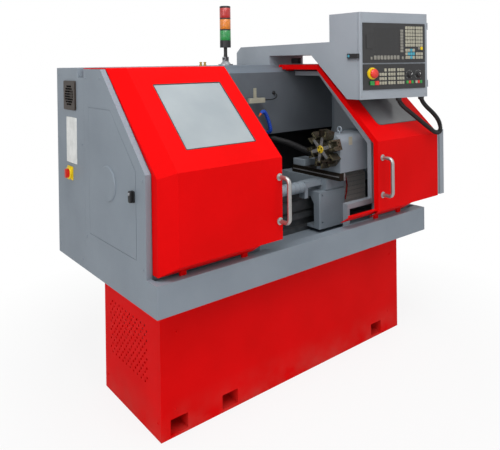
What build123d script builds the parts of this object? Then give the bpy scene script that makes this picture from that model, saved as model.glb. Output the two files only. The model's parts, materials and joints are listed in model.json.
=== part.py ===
from build123d import *
import math
import os

# Turning lathe with a hooded enclosure. Millimetres. X runs along the spindle to the right, Y to the back,
# Z up. The origin is on the floor under the middle of the base cabinet.

# Base cabinet and chip tray
BASE_L = 1616.0
BASE_D = 545.0
BASE_H = 593.0
WALL = 3.0
TRAY_X = 895.0
TRAY_FRONT = -410.0
TRAY_TOP = BASE_H + 132.0
TRAY_FLOOR = BASE_H + 50.0
RIM = 58.0
POCKET_W = 88.0
POCKET_LOW = 13.0
POCKET_TOP = 79.0
POCKETS = [-718.0, -446.0, 607.0]

# Enclosure
SEAM_Y = 290.0
WALL_Y = 300.0
BACK_Y = 653.0
DEEP_Y = 741.0
ROOF_Z = BASE_H + 984.0
SHELF_Z = ROOF_Z - 47.0
FASCIA_Y = 366.0
WALL_LOW = BASE_H + 553.0
RECESS_Y = 470.0
RAIL_Y = 330.0
FLANGE_W = 25.5
FLANGE_Y = -326.0
FLANGE_KNEE = BASE_H + 554.0
FLANGE_TOP_Y = 97.0
HOUSING_TOP = ROOF_Z - 6.0
GUARD_Y = -320.0
GUARD_KNEE = BASE_H + 547.0
GUARD_TOP_Y = 65.0
GUARD_TOP = SHELF_Z + 2.0
GUARD_L_END = -300.0
ARCH_X = 552.0
SILL_X = 320.0
SILL_Z = BASE_H + 229.0
PANEL_X = 893.0

# Doors
SHEET = 2.0
DOOR_Y = -433.0
DOOR_KNEE = BASE_H + 567.0
DOOR_TOP_Y = 7.0
DOOR_TOP = ROOF_Z - 1.0
DOOR_REAR = 356.0
DOOR_LOW = BASE_H + 190.0
BEVEL = 63.0
BEVEL_LOW = BASE_H + 147.0
LEFT_X0 = -867.0
LEFT_X1 = -254.0
LEFT_BEVEL_END = -385.0
RIGHT_X0 = 439.0
RIGHT_X1 = 1000.0
TRIM_W = 78.0
RETURN = 30.0
STRIP_L = 230.0
HANDLE_R = 10.0
HANDLE_GAP = 66.0
HANDLE_LOW = BASE_H + 276.0
HANDLE_HIGH = HANDLE_LOW + 202.0

# Machine inside
AXIS_Y = 50.0
AXIS_Z = BASE_H + 515.0
BED_HALF = 125.0
BED_TOP = AXIS_Z - 258.0
HEAD_X0 = -750.0
HEAD_X1 = -480.0
CHUCK_R = 100.0
CHUCK_T = 78.0
BORE_R = 19.0
SPINDLE_R = 40.0
JAW_R = 52.0
BELT_X = -780.0
BELT_W = 28.0
PULLEY_R = 75.0
MOTOR_PULLEY_R = 50.0
MOTOR_Z = BASE_H - 193.0
SADDLE_X0 = 311.0
SADDLE_X1 = 476.0
SADDLE_Y0 = -170.0
SADDLE_TOP = BED_TOP + 85.0
SLEEVE_X = 182.0
SLEEVE_Y = -110.0
SLEEVE_Z = BED_TOP + 52.0
SLEEVE_R = 32.0
SLEEVE_L = 460.0
APRON_X0 = 252.0
APRON_X1 = 463.0
APRON_Y0 = -177.0
APRON_LOW = BED_TOP - 185.0
SLIDE_X0 = 326.0
SLIDE_X1 = 580.0
SLIDE_Y0 = -262.0
SLIDE_TOP = BED_TOP + 129.0
TURRET_Y = -173.0
TURRET_R = 104.0
TURRET_X = 268.0
TURRET_T = 60.0

# Control arm and box
ARM_X = 391.0
ARM_W = 300.0
BOX_BACK = -134.0
BOX_FRONT = -339.0
BOX_W = 489.0
BOX_LOW = ROOF_Z - 193.0
BOX_TOP = BOX_LOW + 477.0
FACE_TURN = 12.0
PANEL_L = 20.0
PANEL_W = BOX_W - 42.0
SCREEN_LOW = BOX_LOW + 199.0
SCREEN_H = 220.0
KEYS_LOW = BOX_LOW + 52.0
KEYS_H = 140.0
SCREEN_X = PANEL_L + 74.5
STOP_E = 81.0
STOP_Z = KEYS_LOW + 89.0
STOP_RING_R = 33.0
STOP_R = 26.0

# Signal tower and lamp
TOWER_X = 96.0
TOWER_Y = 470.0
TOWER_R = 34.0
LENS_H = 62.0
PIVOT_Z = ROOF_Z + 41.0
STACK_Z = PIVOT_Z + 70.0

os.makedirs("parts", exist_ok=True)
SLOPE = math.degrees(math.atan2(DOOR_TOP - DOOR_KNEE, DOOR_TOP_Y - DOOR_Y))
SLOPE_LEN = math.hypot(DOOR_TOP - DOOR_KNEE, DOOR_TOP_Y - DOOR_Y)
FACE = Location((ARM_X, BOX_FRONT, 0), (0, 0, -FACE_TURN))


def save(name, solid):
    # Writes one piece; every solid in it belongs to the same node.
    if isinstance(solid, ShapeList):
        solid = Compound(children=list(solid))
    export_step(solid, "parts/" + name + ".step")


def block(x0, x1, y0, y1, z0, z1):
    # An upright box between six planes.
    size = Box(x1 - x0, y1 - y0, z1 - z0)
    return Pos((x0 + x1) / 2, (y0 + y1) / 2, (z0 + z1) / 2) * size


def rod(axis, r, a, b, c0, c1):
    # A round bar along one axis; a and b are its place on the other two axes, in the order X, Y, Z.
    bar = Cylinder(r, abs(c1 - c0))
    mid = (c0 + c1) / 2
    if axis == "X":
        return Pos(mid, a, b) * Rot(0, 90, 0) * bar
    if axis == "Y":
        return Pos(a, mid, b) * Rot(90, 0, 0) * bar
    return Pos(a, b, mid) * bar


def prism_x(points, x0, x1):
    # A Y-Z outline drawn out along X.
    outline = make_face(Polyline(*[(x0, y, z) for y, z in points], close=True))
    return extrude(outline, amount=x1 - x0, dir=(1, 0, 0))


def prism_y(points, y0, y1):
    # An X-Z outline drawn out along Y.
    outline = make_face(Polyline(*[(x, y0, z) for x, z in points], close=True))
    return extrude(outline, amount=y1 - y0, dir=(0, 1, 0))


def prism_z(points, z0, z1):
    # A plan outline drawn up along Z.
    outline = make_face(Polyline(*[(x, y, z0) for x, y in points], close=True))
    return extrude(outline, amount=z1 - z0, dir=(0, 0, 1))


def shifted(points, gap):
    # The open path moved to its right-hand side by gap, with mitred corners.
    lines = []
    for (a, b), (c, d) in zip(points, points[1:]):
        run = math.hypot(c - a, d - b)
        nx = (d - b) / run * gap
        ny = -(c - a) / run * gap
        lines.append(((a + nx, b + ny), (c + nx, d + ny)))
    out = [lines[0][0]]
    for (p, q), (r, s) in zip(lines, lines[1:]):
        ux, uy = q[0] - p[0], q[1] - p[1]
        vx, vy = s[0] - r[0], s[1] - r[1]
        k = ((r[0] - p[0]) * vy - (r[1] - p[1]) * vx) / (ux * vy - uy * vx)
        out.append((p[0] + ux * k, p[1] + uy * k))
    out.append(lines[-1][1])
    return out


def sheet_x(path, t, x0, x1):
    # A bent sheet: the path is its outer face in Y-Z, read from the low front to the top back.
    return prism_x(path + shifted(path, t)[::-1], x0, x1)


def band_x(path, near, far, x0, x1):
    # The strip between two offsets of a path, as an end face of a hood.
    return prism_x(shifted(path, near) + shifted(path, far)[::-1], x0, x1)


def tube(points, r, bend):
    # A round bar or hose along a path with rounded corners.
    path = FilletPolyline(*points, radius=bend)
    start = Plane(origin=path @ 0, z_dir=path % 0)
    return sweep(start * Circle(r), path=path)


def on_slope(x, along, tool):
    # Places a tool on the doors' slanted face, at a distance up the slope from the knee.
    f = along / SLOPE_LEN
    y = DOOR_Y + (DOOR_TOP_Y - DOOR_Y) * f
    z = DOOR_KNEE + (DOOR_TOP - DOOR_KNEE) * f
    return Location((x, y, z), (SLOPE, 0, 0)) * tool


# Base cabinet: open below, with fork pockets through front and back and a field of vent holes on the left.
hx = BASE_L / 2
hy = BASE_D / 2
base = block(-hx, hx, -hy, hy, 0, BASE_H)
base -= block(-hx + WALL, hx - WALL, -hy + WALL, hy - WALL, -1, BASE_H - 6)
base += block(-hx + WALL, hx - WALL, -hy + WALL, -hy + 45, 0, 8)
base += block(-hx + WALL, hx - WALL, hy - 45, hy - WALL, 0, 8)
base += block(-60, 60, -hy + WALL, hy - WALL, 0, 8)
for x in POCKETS:
    base -= block(x - POCKET_W / 2, x + POCKET_W / 2, -hy - 5, hy + 5, POCKET_LOW, POCKET_TOP)
vents = []
for row in range(13):
    for col in range(10 + row % 2):
        y = -154 + col * 36 + (0 if row % 2 else 18)
        z = 204 + row * 20.4
        vents.append(Pos(-hx, y, z) * Box(20, 9, 9))
base -= vents
base -= block(BELT_X - 22, BELT_X + 22, AXIS_Y - 95, AXIS_Y + 95, BASE_H - 20, BASE_H + 5)
save("base_cabinet", base)

# Chip tray: a deep pan with a wide front rim.
tray = block(-TRAY_X, TRAY_X, TRAY_FRONT, SEAM_Y, BASE_H, TRAY_TOP)
tray -= block(-TRAY_X + 24, TRAY_X - 20, TRAY_FRONT + RIM, SEAM_Y - 12, TRAY_FLOOR, TRAY_TOP + 5)
tray -= block(-TRAY_X + 3, TRAY_X - 3, TRAY_FRONT + 3, -hy - 30, BASE_H - 5, TRAY_FLOOR - 3)
tray -= block(BELT_X - 20, BELT_X + 20, AXIS_Y - 92, AXIS_Y + 92, BASE_H - 5, TRAY_FLOOR + 5)
front_edges = tray.edges().filter_by(Axis.Z).group_by(Axis.Y)[0]
tray = fillet(front_edges, 2.5)
save("chip_tray", tray)

# Rear cabinet: back wall of the work space, roof and electrical compartment in one folded body.
rear_outline = [(SEAM_Y, BASE_H), (BACK_Y, BASE_H), (BACK_Y, SILL_Z + 78), (DEEP_Y, SILL_Z + 78),
                (DEEP_Y, ROOF_Z)]
rear_outline += [(FASCIA_Y, ROOF_Z), (FASCIA_Y, SHELF_Z), (WALL_Y, SHELF_Z), (WALL_Y, WALL_LOW)]
rear_outline += [(RECESS_Y, WALL_LOW), (RECESS_Y, TRAY_TOP + 35), (SEAM_Y, TRAY_TOP - 25)]
rear = prism_x(rear_outline, -850, PANEL_X)
end_outline = [(SEAM_Y + 0.5, BASE_H), (BACK_Y, BASE_H), (BACK_Y, ROOF_Z), (FASCIA_Y, ROOF_Z)]
end_outline += [(FASCIA_Y, SHELF_Z), (SEAM_Y + 0.5, SHELF_Z)]
rear += prism_x(end_outline, -TRAY_X, -850)
room = [(SEAM_Y + 4, BASE_H + 4), (BACK_Y - 4, BASE_H + 4), (BACK_Y - 4, ROOF_Z - 4),
        (FASCIA_Y + 4, ROOF_Z - 4)]
room += [(FASCIA_Y + 4, SHELF_Z - 4), (WALL_Y + 4, SHELF_Z - 4), (WALL_Y + 4, WALL_LOW + 4),
         (RECESS_Y + 4, WALL_LOW + 4)]
room += [(RECESS_Y + 4, TRAY_TOP + 32), (SEAM_Y + 4, TRAY_TOP - 28)]
rear -= prism_x(room, -846, PANEL_X - 4)
rear -= block(-846, PANEL_X - 4, BACK_Y - 6, DEEP_Y - 4, SILL_Z + 82, ROOF_Z - 4)
rear -= block(-TRAY_X + 4, -845, SEAM_Y + 60, BACK_Y - 4, BASE_H + 4, ROOF_Z - 4 - 43)
rear += block(-845, PANEL_X - 5, RAIL_Y, RAIL_Y + 12, SHELF_Z - 1, SHELF_Z + 28)
FAN_Y = 462.0
FAN_Z = SHELF_Z - 92
FAN_R = 58.0
rear -= rod("X", FAN_R, FAN_Y, FAN_Z, -TRAY_X - 5, -TRAY_X + 20)
rear -= rod("X", 9, 474, WALL_LOW - 106, -TRAY_X - 5, -TRAY_X + 20)
for row in range(9):
    rear -= block(560, 760, DEEP_Y - 20, DEEP_Y + 5, SILL_Z + 138 + row * 22, SILL_Z + 146 + row * 22)
save("rear_cabinet", rear)

# Fan guard and rotor on the left end of the rear cabinet.
guard = block(-TRAY_X - 9, -TRAY_X, FAN_Y - 74, FAN_Y + 74, FAN_Z - 74, FAN_Z + 74)
guard = fillet(guard.edges().filter_by(Axis.X), 8)
for row in range(8):
    z = FAN_Z - 45.5 + row * 13
    half = math.sqrt(56 ** 2 - (z - FAN_Z) ** 2)
    guard -= block(-TRAY_X - 20, -TRAY_X + 5, FAN_Y - half, FAN_Y + half, z - 4.5, z + 4.5)
boss = rod("X", 4, FAN_Y, FAN_Z, -TRAY_X - 5, -TRAY_X + 12)
guard += boss
save("fan_guard", guard)
rotor = rod("X", 19, FAN_Y, FAN_Z, -TRAY_X + 3, -TRAY_X + 26) - rod("X", 4.05, FAN_Y, FAN_Z, -TRAY_X,
                                                                    -TRAY_X + 13)
for n in range(7):
    blade = Pos(-TRAY_X + 14, FAN_Y, FAN_Z) * Rot(n * 360 / 7, 0, 0) * Pos(0, 0, 36) * Rot(0, 0,
                                                                                           38) * Box(3,
                                                                                                     24, 38)
    rotor += blade
save("fan_rotor", rotor)

# Main switch: yellow plate and red rotary knob.
SW_Y = 474.0
SW_Z = WALL_LOW - 106
plate = block(-TRAY_X - 4, -TRAY_X, SW_Y - 34, SW_Y + 34, SW_Z - 34, SW_Z + 34)
plate -= rod("X", 9, SW_Y, SW_Z, -TRAY_X - 9, -TRAY_X + 5)
save("main_switch_plate", plate)
knob = rod("X", 22, SW_Y, SW_Z, -TRAY_X - 12, -TRAY_X - 4.1)
knob += block(-TRAY_X - 30, -TRAY_X - 11, SW_Y - 7, SW_Y + 7, SW_Z - 22, SW_Z + 22)
knob += rod("X", 8.9, SW_Y, SW_Z, -TRAY_X - 5, -TRAY_X + 3)
save("main_switch_knob", knob)

# End housing on the left: a sheet box with a front flange and an opening for the cover.
flange_path = [(FLANGE_Y, TRAY_TOP), (FLANGE_Y, FLANGE_KNEE), (FLANGE_TOP_Y, HOUSING_TOP),
               (SEAM_Y, HOUSING_TOP)]
side = prism_x(flange_path + [(SEAM_Y, TRAY_TOP)], -TRAY_X, -TRAY_X + FLANGE_W)
hollow = shifted(flange_path, 2)
side -= prism_x(hollow + [(SEAM_Y - 2, TRAY_TOP - 5)], -TRAY_X + 2, -TRAY_X + FLANGE_W + 5)
COVER = [(-244, SILL_Z - 39), (-244, WALL_LOW + 4), (-3, SHELF_Z - 140), (236, SHELF_Z - 140),
         (236, SILL_Z - 39)]
side -= prism_x(COVER, -TRAY_X - 5, -TRAY_X + 5)
rim_in = [(-232, SILL_Z - 27), (-232, WALL_LOW - 1), (2, SHELF_Z - 152), (224, SHELF_Z - 152),
          (224, SILL_Z - 27)]
side += prism_x([(-254, TRAY_TOP + 48), (-254, WALL_LOW + 8), (-7, SHELF_Z - 130), (246, SHELF_Z - 130),
                 (246, TRAY_TOP + 48)], -TRAY_X + 2, -TRAY_X + 6)
side -= prism_x(rim_in, -TRAY_X - 5, -TRAY_X + 9)
save("end_housing", side)

# End cover: hinged on its rear edge, with a pressed round boss.
cover = prism_x([(-242, SILL_Z - 37), (-242, WALL_LOW + 3), (-4, SHELF_Z - 142), (234, SHELF_Z - 142),
                 (234, SILL_Z - 37)], -TRAY_X - 0.4, -TRAY_X + 1.6)
disc = rod("X", 81, 24, WALL_LOW - 89, -TRAY_X - 7, -TRAY_X + 1)
disc = chamfer(disc.faces().sort_by(Axis.X)[0].edges(), 5)
cover += disc
LATCH_Y = -222.0
LATCH_Z = WALL_LOW - 102
cover -= rod("X", 8, LATCH_Y, LATCH_Z, -TRAY_X - 20, -TRAY_X + 20)
save("end_cover", cover)
latch = block(-TRAY_X - 9, -TRAY_X - 1, LATCH_Y - 14, LATCH_Y + 14, LATCH_Z - 24, LATCH_Z + 24)
latch = fillet(latch.edges().filter_by(Axis.X), 5)
latch += rod("X", 7.9, LATCH_Y, LATCH_Z, -TRAY_X - 2, -TRAY_X + 8)
latch += block(-TRAY_X + 6.5, -TRAY_X + 9, LATCH_Y - 7, LATCH_Y + 7, LATCH_Z - 7, LATCH_Z + 26)
save("end_cover_latch", latch)

# Fixed guards behind the doors, each with a folded inner edge.
guard_path = [(GUARD_Y, TRAY_FLOOR), (GUARD_Y, GUARD_KNEE), (GUARD_TOP_Y, GUARD_TOP),
              (WALL_Y + 24, GUARD_TOP)]
left_guard = sheet_x(guard_path, SHEET, -TRAY_X + FLANGE_W, GUARD_L_END)
left_guard += band_x(guard_path, 0, 35, GUARD_L_END - SHEET, GUARD_L_END)
left_guard -= block(-900, 0, WALL_Y - 0.01, WALL_Y + 60, SHELF_Z - 130, SHELF_Z)
left_guard -= block(-TRAY_X, -TRAY_X + FLANGE_W, -500, 400, BASE_H + 7, ROOF_Z + 23)
save("headstock_guard", left_guard)

right_guard = sheet_x(guard_path, SHEET, ARCH_X, PANEL_X)
right_guard += band_x(guard_path, 0, 24, ARCH_X, ARCH_X + SHEET)
right_guard += block(ARCH_X, ARCH_X + SHEET, GUARD_Y, GUARD_Y + 35, SILL_Z - 20, GUARD_KNEE - 12)
right_guard += block(SILL_X, ARCH_X + 1, GUARD_Y, GUARD_Y + 35, SILL_Z - 28, SILL_Z)
right_guard += block(SILL_X, SILL_X + 16, GUARD_Y, GUARD_Y + 35, TRAY_FLOOR, SILL_Z)
end_panel = guard_path[:3] + [(WALL_Y - 0.5, GUARD_TOP), (WALL_Y - 0.5, TRAY_TOP), (GUARD_Y, TRAY_TOP)]
right_guard += prism_x([(GUARD_Y, TRAY_FLOOR), (GUARD_Y, GUARD_KNEE), (GUARD_TOP_Y, GUARD_TOP),
                        (SEAM_Y - 14, GUARD_TOP), (SEAM_Y - 14, TRAY_FLOOR)], TRAY_X - 24, TRAY_X - 21)
right_guard -= block(TRAY_X - 21, 1000, -500, 500, BASE_H + 7, ROOF_Z + 23)
right_guard -= block(300, 900, WALL_Y - 0.01, WALL_Y + 60, SHELF_Z - 130, SHELF_Z)
save("tailstock_guard", right_guard)

# Bed: two flat ways on ribbed walls.
front = AXIS_Y - BED_HALF
ways = [(front + 30, BED_TOP), (front + 30, BED_TOP - 30), (front, BED_TOP - 34), (front, BED_TOP - 88),
        (front + 16, BED_TOP - 94), (front + 16, BED_TOP - 100),
        (front, TRAY_FLOOR + 103), (front, TRAY_FLOOR + 72), (front + 22, TRAY_FLOOR + 65), (front + 22,
                                                                                             TRAY_FLOOR + 29), (front, TRAY_FLOOR + 21), (front, TRAY_FLOOR)]
mirror_ways = [(2 * AXIS_Y - y, z) for y, z in ways[::-1]]
bed = prism_x(ways + mirror_ways, -740, 860)
bed -= prism_x([(AXIS_Y - 55, BED_TOP + 5), (AXIS_Y - 55, BED_TOP - 50), (AXIS_Y - 80, BED_TOP - 80),
                (AXIS_Y - 80, TRAY_FLOOR + 22),
                (AXIS_Y + 80, TRAY_FLOOR + 22), (AXIS_Y + 80, BED_TOP - 80), (AXIS_Y + 55,
                                                                              BED_TOP - 50), (AXIS_Y + 55,
                                                                                              BED_TOP + 5)], -440, 835)
for n in range(4):
    x = -180 + n * 260
    bed += block(x - 9, x + 9, AXIS_Y - 85, AXIS_Y + 85, TRAY_FLOOR + 17, BED_TOP - 60)
save("bed", bed)

# Headstock with a bored nose.
head = block(HEAD_X0, HEAD_X1, AXIS_Y - 122, AXIS_Y + 122, BED_TOP, AXIS_Z + 135)
head = fillet(head.edges().filter_by(Axis.X).group_by(Axis.Z)[-1], 30)
head += rod("X", 82, AXIS_Y, AXIS_Z, HEAD_X1 - 5, HEAD_X1 + 16)
head -= rod("X", SPINDLE_R + 0.05, AXIS_Y, AXIS_Z, HEAD_X0 - 10, HEAD_X1 + 30)
save("headstock", head)

# Spindle with its drive pulley, bored through.
spindle = rod("X", SPINDLE_R, AXIS_Y, AXIS_Z, HEAD_X0 - 62, HEAD_X1 + 18)
spindle += rod("X", 66, AXIS_Y, AXIS_Z, HEAD_X1 + 17, HEAD_X1 + 32)
spindle += rod("X", PULLEY_R, AXIS_Y, AXIS_Z, BELT_X - BELT_W / 2, BELT_X + BELT_W / 2)
spindle += rod("X", PULLEY_R + 5, AXIS_Y, AXIS_Z, BELT_X - BELT_W / 2 - 3, BELT_X - BELT_W / 2)
spindle += rod("X", PULLEY_R + 5, AXIS_Y, AXIS_Z, BELT_X + BELT_W / 2, BELT_X + BELT_W / 2 + 3)
spindle -= rod("X", BORE_R, AXIS_Y, AXIS_Z, HEAD_X0 - 90, HEAD_X1 + 60)
save("spindle", spindle)

# Chuck body with three jaw ways, and its jaws.
CHUCK_X = HEAD_X1 + 32
chuck = rod("X", CHUCK_R, AXIS_Y, AXIS_Z, CHUCK_X, CHUCK_X + CHUCK_T)
chuck = fillet(chuck.edges().filter_by(GeomType.CIRCLE), 4)
chuck -= rod("X", 26, AXIS_Y, AXIS_Z, CHUCK_X - 5, CHUCK_X + CHUCK_T + 5)
for n in range(3):
    turn = Pos(0, AXIS_Y, AXIS_Z) * Rot(n * 120, 0, 0)
    chuck -= turn * block(CHUCK_X + 44, CHUCK_X + CHUCK_T + 5, -13, 13, 20, 120)
    chuck -= turn * block(CHUCK_X + 54, CHUCK_X + 64, -18, 18, 20, 120)
save("chuck_body", chuck)
for n in range(3):
    turn = Pos(0, AXIS_Y, AXIS_Z) * Rot(n * 120, 0, 0)
    jaw = block(CHUCK_X + 46, CHUCK_X + CHUCK_T + 12, -12.8, 12.8, 40, 92)
    jaw += block(CHUCK_X + 54.2, CHUCK_X + 63.8, -17.8, 17.8, 40, 92)
    jaw += block(CHUCK_X + CHUCK_T + 1, CHUCK_X + CHUCK_T + 34, -12.8, 12.8, 40, 66)
    jaw += block(CHUCK_X + CHUCK_T + 1, CHUCK_X + CHUCK_T + 22, -12.8, 12.8, 40, 88)
    save("chuck_jaw_" + str(n + 1), turn * jaw)

# Motor in the base cabinet, its pulley and the belt up to the spindle.
motor = rod("X", 92, AXIS_Y, MOTOR_Z, BELT_X + 40, BELT_X + 300)
motor += block(BELT_X + 60, BELT_X + 280, AXIS_Y - 92, AXIS_Y + 92, MOTOR_Z - 100, MOTOR_Z - 80)
motor += block(BELT_X + 70, BELT_X + 120, -hy + 3, hy - 3, MOTOR_Z - 130, MOTOR_Z - 99)
motor += block(BELT_X + 220, BELT_X + 270, -hy + 3, hy - 3, MOTOR_Z - 130, MOTOR_Z - 99)
motor += block(BELT_X + 110, BELT_X + 220, AXIS_Y - 40, AXIS_Y + 40, MOTOR_Z + 80, MOTOR_Z + 125)
motor += rod("X", 14, AXIS_Y, MOTOR_Z, BELT_X - 16, BELT_X + 45)
for n in range(24):
    fin = Pos(BELT_X + 180, AXIS_Y, MOTOR_Z) * Rot(n * 15, 0, 0) * Pos(0, 0, 93) * Box(200, 3, 12)
    if abs(n - 12) > 3 and n not in (0, 1, 23, 2, 22):
        motor += fin
save("spindle_motor", motor)
pulley = rod("X", MOTOR_PULLEY_R, AXIS_Y, MOTOR_Z, BELT_X - BELT_W / 2, BELT_X + BELT_W / 2)
pulley += rod("X", MOTOR_PULLEY_R + 5, AXIS_Y, MOTOR_Z, BELT_X - BELT_W / 2 - 3, BELT_X - BELT_W / 2)
pulley += rod("X", MOTOR_PULLEY_R + 5, AXIS_Y, MOTOR_Z, BELT_X + BELT_W / 2, BELT_X + BELT_W / 2 + 3)
pulley -= rod("X", 14.05, AXIS_Y, MOTOR_Z, BELT_X - 40, BELT_X + 40)
save("motor_pulley", pulley)
rise = AXIS_Z - MOTOR_Z


def loop(grow):
    # Outline of a belt round both pulleys, grown by a gap, as a plan shape in Y-Z.
    big = PULLEY_R + grow
    small = MOTOR_PULLEY_R + grow
    lean = math.asin((big - small) / rise)
    pts = []
    for k in range(33):
        a = -lean + (math.pi + 2 * lean) * k / 32
        pts.append((AXIS_Y + big * math.cos(a), AXIS_Z + big * math.sin(a)))
    for k in range(25):
        a = math.pi + lean + (math.pi - 2 * lean) * k / 24
        pts.append((AXIS_Y + small * math.cos(a), MOTOR_Z + small * math.sin(a)))
    return pts


belt = prism_x(loop(4.5), BELT_X - BELT_W / 2 + 1, BELT_X + BELT_W / 2 - 1)
belt -= prism_x(loop(0.4), BELT_X - BELT_W, BELT_X + BELT_W)
save("drive_belt", belt)

# Saddle, apron and the covers that ride with them.
saddle = block(SADDLE_X0, SADDLE_X1, SADDLE_Y0, AXIS_Y + 150, BED_TOP + 0.1, SADDLE_TOP)
saddle -= block(SADDLE_X0 - 5, SADDLE_X1 + 5, SADDLE_Y0 - 5, AXIS_Y - BED_HALF - 2, BED_TOP - 10,
                BED_TOP + 20)
saddle = chamfer(saddle.edges().filter_by(Axis.X).group_by(Axis.Y)[0], 5)
saddle += block(SLEEVE_X, SADDLE_X0 + 1, SLEEVE_Y - 26, SLEEVE_Y + 26, SADDLE_TOP - 36, SADDLE_TOP - 4)
saddle += block(SLEEVE_X, SLEEVE_X + 26, SLEEVE_Y - 22, SLEEVE_Y + 22, SLEEVE_Z - 62, SADDLE_TOP - 20)
sleeve = rod("X", SLEEVE_R, SLEEVE_Y, SLEEVE_Z, SLEEVE_X - SLEEVE_L, SLEEVE_X + 1)
for n in range(14):
    x = SLEEVE_X - 12 - n * 32
    ring = rod("X", SLEEVE_R + 5, SLEEVE_Y, SLEEVE_Z, x, x + 2)
    sleeve -= ring - rod("X", SLEEVE_R - 1.5, SLEEVE_Y, SLEEVE_Z, x, x + 2)
saddle += sleeve
save("saddle", saddle)
apron = block(APRON_X0, APRON_X1, APRON_Y0, AXIS_Y - BED_HALF - 2, APRON_LOW, BED_TOP + 20)
apron = fillet(apron.edges().filter_by(Axis.Z).group_by(Axis.Y)[0], 8)
apron -= prism_x([(-132, TRAY_FLOOR + 37), (-132, BED_TOP - 50), (-108, BED_TOP - 12),
                  (-77, BED_TOP - 12), (-77, BED_TOP - 50), (-60, BED_TOP - 60), (-60, TRAY_FLOOR + 37)],
                 APRON_X0 - 5, APRON_X0 + 110)
for z in (APRON_LOW + 35, BED_TOP):
    apron -= rod("Y", 5, APRON_X0 + 22, z, APRON_Y0 - 5, APRON_Y0 + 10)
save("apron", apron)
cov = [(-128, BED_TOP - 98), (-128, SLIDE_TOP - 63), (-112, SLIDE_TOP - 47), (185, SLIDE_TOP - 47),
       (185, BED_TOP + 10)]
way = sheet_x(cov, 2, SADDLE_X1 + 4, 700)
way += band_x(cov, 0, 12, SADDLE_X1 + 4, SADDLE_X1 + 6)
way += block(SADDLE_X1 - 0.5, SADDLE_X1 + 5, -90, 170, BED_TOP + 50, SLIDE_TOP - 45)
way -= block(SADDLE_X1 - 5, SADDLE_X1, -300, 300, BED_TOP - 50, SLIDE_TOP + 21)
save("way_cover", way)

# Cross slide with a dovetail foot, gray end block and the turret housing on it.
slide = block(SLIDE_X0, SLIDE_X1, SLIDE_Y0, 120, SADDLE_TOP + 0.1, SLIDE_TOP)
slide = chamfer(slide.edges().filter_by(Axis.X).group_by(Axis.Y)[0], 3)
slide += block(SLIDE_X0 + 4, SLIDE_X0 + 110, 20, 118, SLIDE_TOP - 1, SLIDE_TOP + 38)
for n in range(3):
    slide -= block(SLIDE_X0 + 40, SLIDE_X0 + 52, -60 + n * 26, -50 + n * 26, SLIDE_TOP - 6, SLIDE_TOP + 5)
save("cross_slide", slide)
HOUSE_X0 = TURRET_X + TURRET_T + 2
housing = block(HOUSE_X0, HOUSE_X0 + 252, SLIDE_Y0, SLIDE_Y0 + 182, SLIDE_TOP, AXIS_Z + 76)
housing = fillet(housing.edges().filter_by(Axis.X).group_by(Axis.Z)[-1], 45)
housing = fillet(housing.edges().filter_by(Axis.Z).group_by(Axis.X)[-1], 10)
housing += rod("X", 46, TURRET_Y, AXIS_Z, HOUSE_X0 - 1.5, HOUSE_X0 + 5)
housing += rod("X", 20, TURRET_Y, AXIS_Z, TURRET_X + 14, HOUSE_X0 + 5)
housing += rod("Z", 7, HOUSE_X0 + 95, TURRET_Y, AXIS_Z + 72, AXIS_Z + 86)
ring = Pos(HOUSE_X0 + 95, TURRET_Y, AXIS_Z + 98) * Rot(0, 90, 65) * Torus(14, 4.5)
housing += ring
save("turret_housing", housing)

# Turret head: six arms with tool slots, hub cap and two tools.
head_t = rod("X", 44, TURRET_Y, AXIS_Z, TURRET_X, TURRET_X + TURRET_T)
for n in range(6):
    turn = Pos(0, TURRET_Y, AXIS_Z) * Rot(n * 60 + 12, 0, 0)
    head_t += turn * block(TURRET_X, TURRET_X + TURRET_T, -13, 13, 20, 74)
    head_t += turn * block(TURRET_X, TURRET_X + TURRET_T, -30, 30, 62, TURRET_R)
    head_t -= turn * block(TURRET_X - 5, TURRET_X + 30, -8.05, 21, 76, TURRET_R + 5)
    head_t -= turn * rod("Z", 4.2, TURRET_X + 44, 12, 90, TURRET_R + 5)
    head_t -= turn * rod("Z", 4.2, TURRET_X + 44, -12, 90, TURRET_R + 5)
head_t -= rod("X", 20.05, TURRET_Y, AXIS_Z, TURRET_X + 12, TURRET_X + TURRET_T + 5)
head_t -= rod("X", 22, TURRET_Y, AXIS_Z, TURRET_X - 5, TURRET_X + 8)
save("turret_head", head_t)
hub = rod("X", 21.9, TURRET_Y, AXIS_Z, TURRET_X - 5, TURRET_X + 8)
hub = chamfer(hub.faces().sort_by(Axis.X)[0].edges(), 2)
for n in range(4):
    hub -= Pos(0, TURRET_Y, AXIS_Z) * Rot(n * 90 + 20, 0, 0) * rod("X", 3.5, 0, 14, TURRET_X - 9, TURRET_X)
save("turret_hub", hub)
for n, station in enumerate((0, 2)):
    turn = Pos(0, TURRET_Y, AXIS_Z) * Rot(station * 60 + 12, 0, 0)
    tool = block(TURRET_X - 22, TURRET_X + 30, -8, 8, 76, 92)
    tool += block(TURRET_X - 22, TURRET_X - 6, -8, 8, 90, 112 if n == 0 else 98)
    tool += prism_y([(TURRET_X - 24, 90), (TURRET_X - 6, 90), (TURRET_X - 10, 112), (TURRET_X - 26, 112)],
                    -7, 7) \
        if n == 0 else block(TURRET_X - 60, TURRET_X - 20, -6, 6, 78, 90)
    save("turning_tool_" + str(n + 1), turn * tool)

# Flexible steel hose from the gap under the back wall to the cross slide.
chain = tube([(350, 334, AXIS_Z + 2), (345, 200, AXIS_Z - 4), (342, 110, AXIS_Z - 18),
              (352, 20, AXIS_Z - 40), (372, -40, AXIS_Z - 60),
              (372, SLIDE_Y0 + 182, AXIS_Z - 60)], 19, 26)
save("cable_hose", chain)

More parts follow.
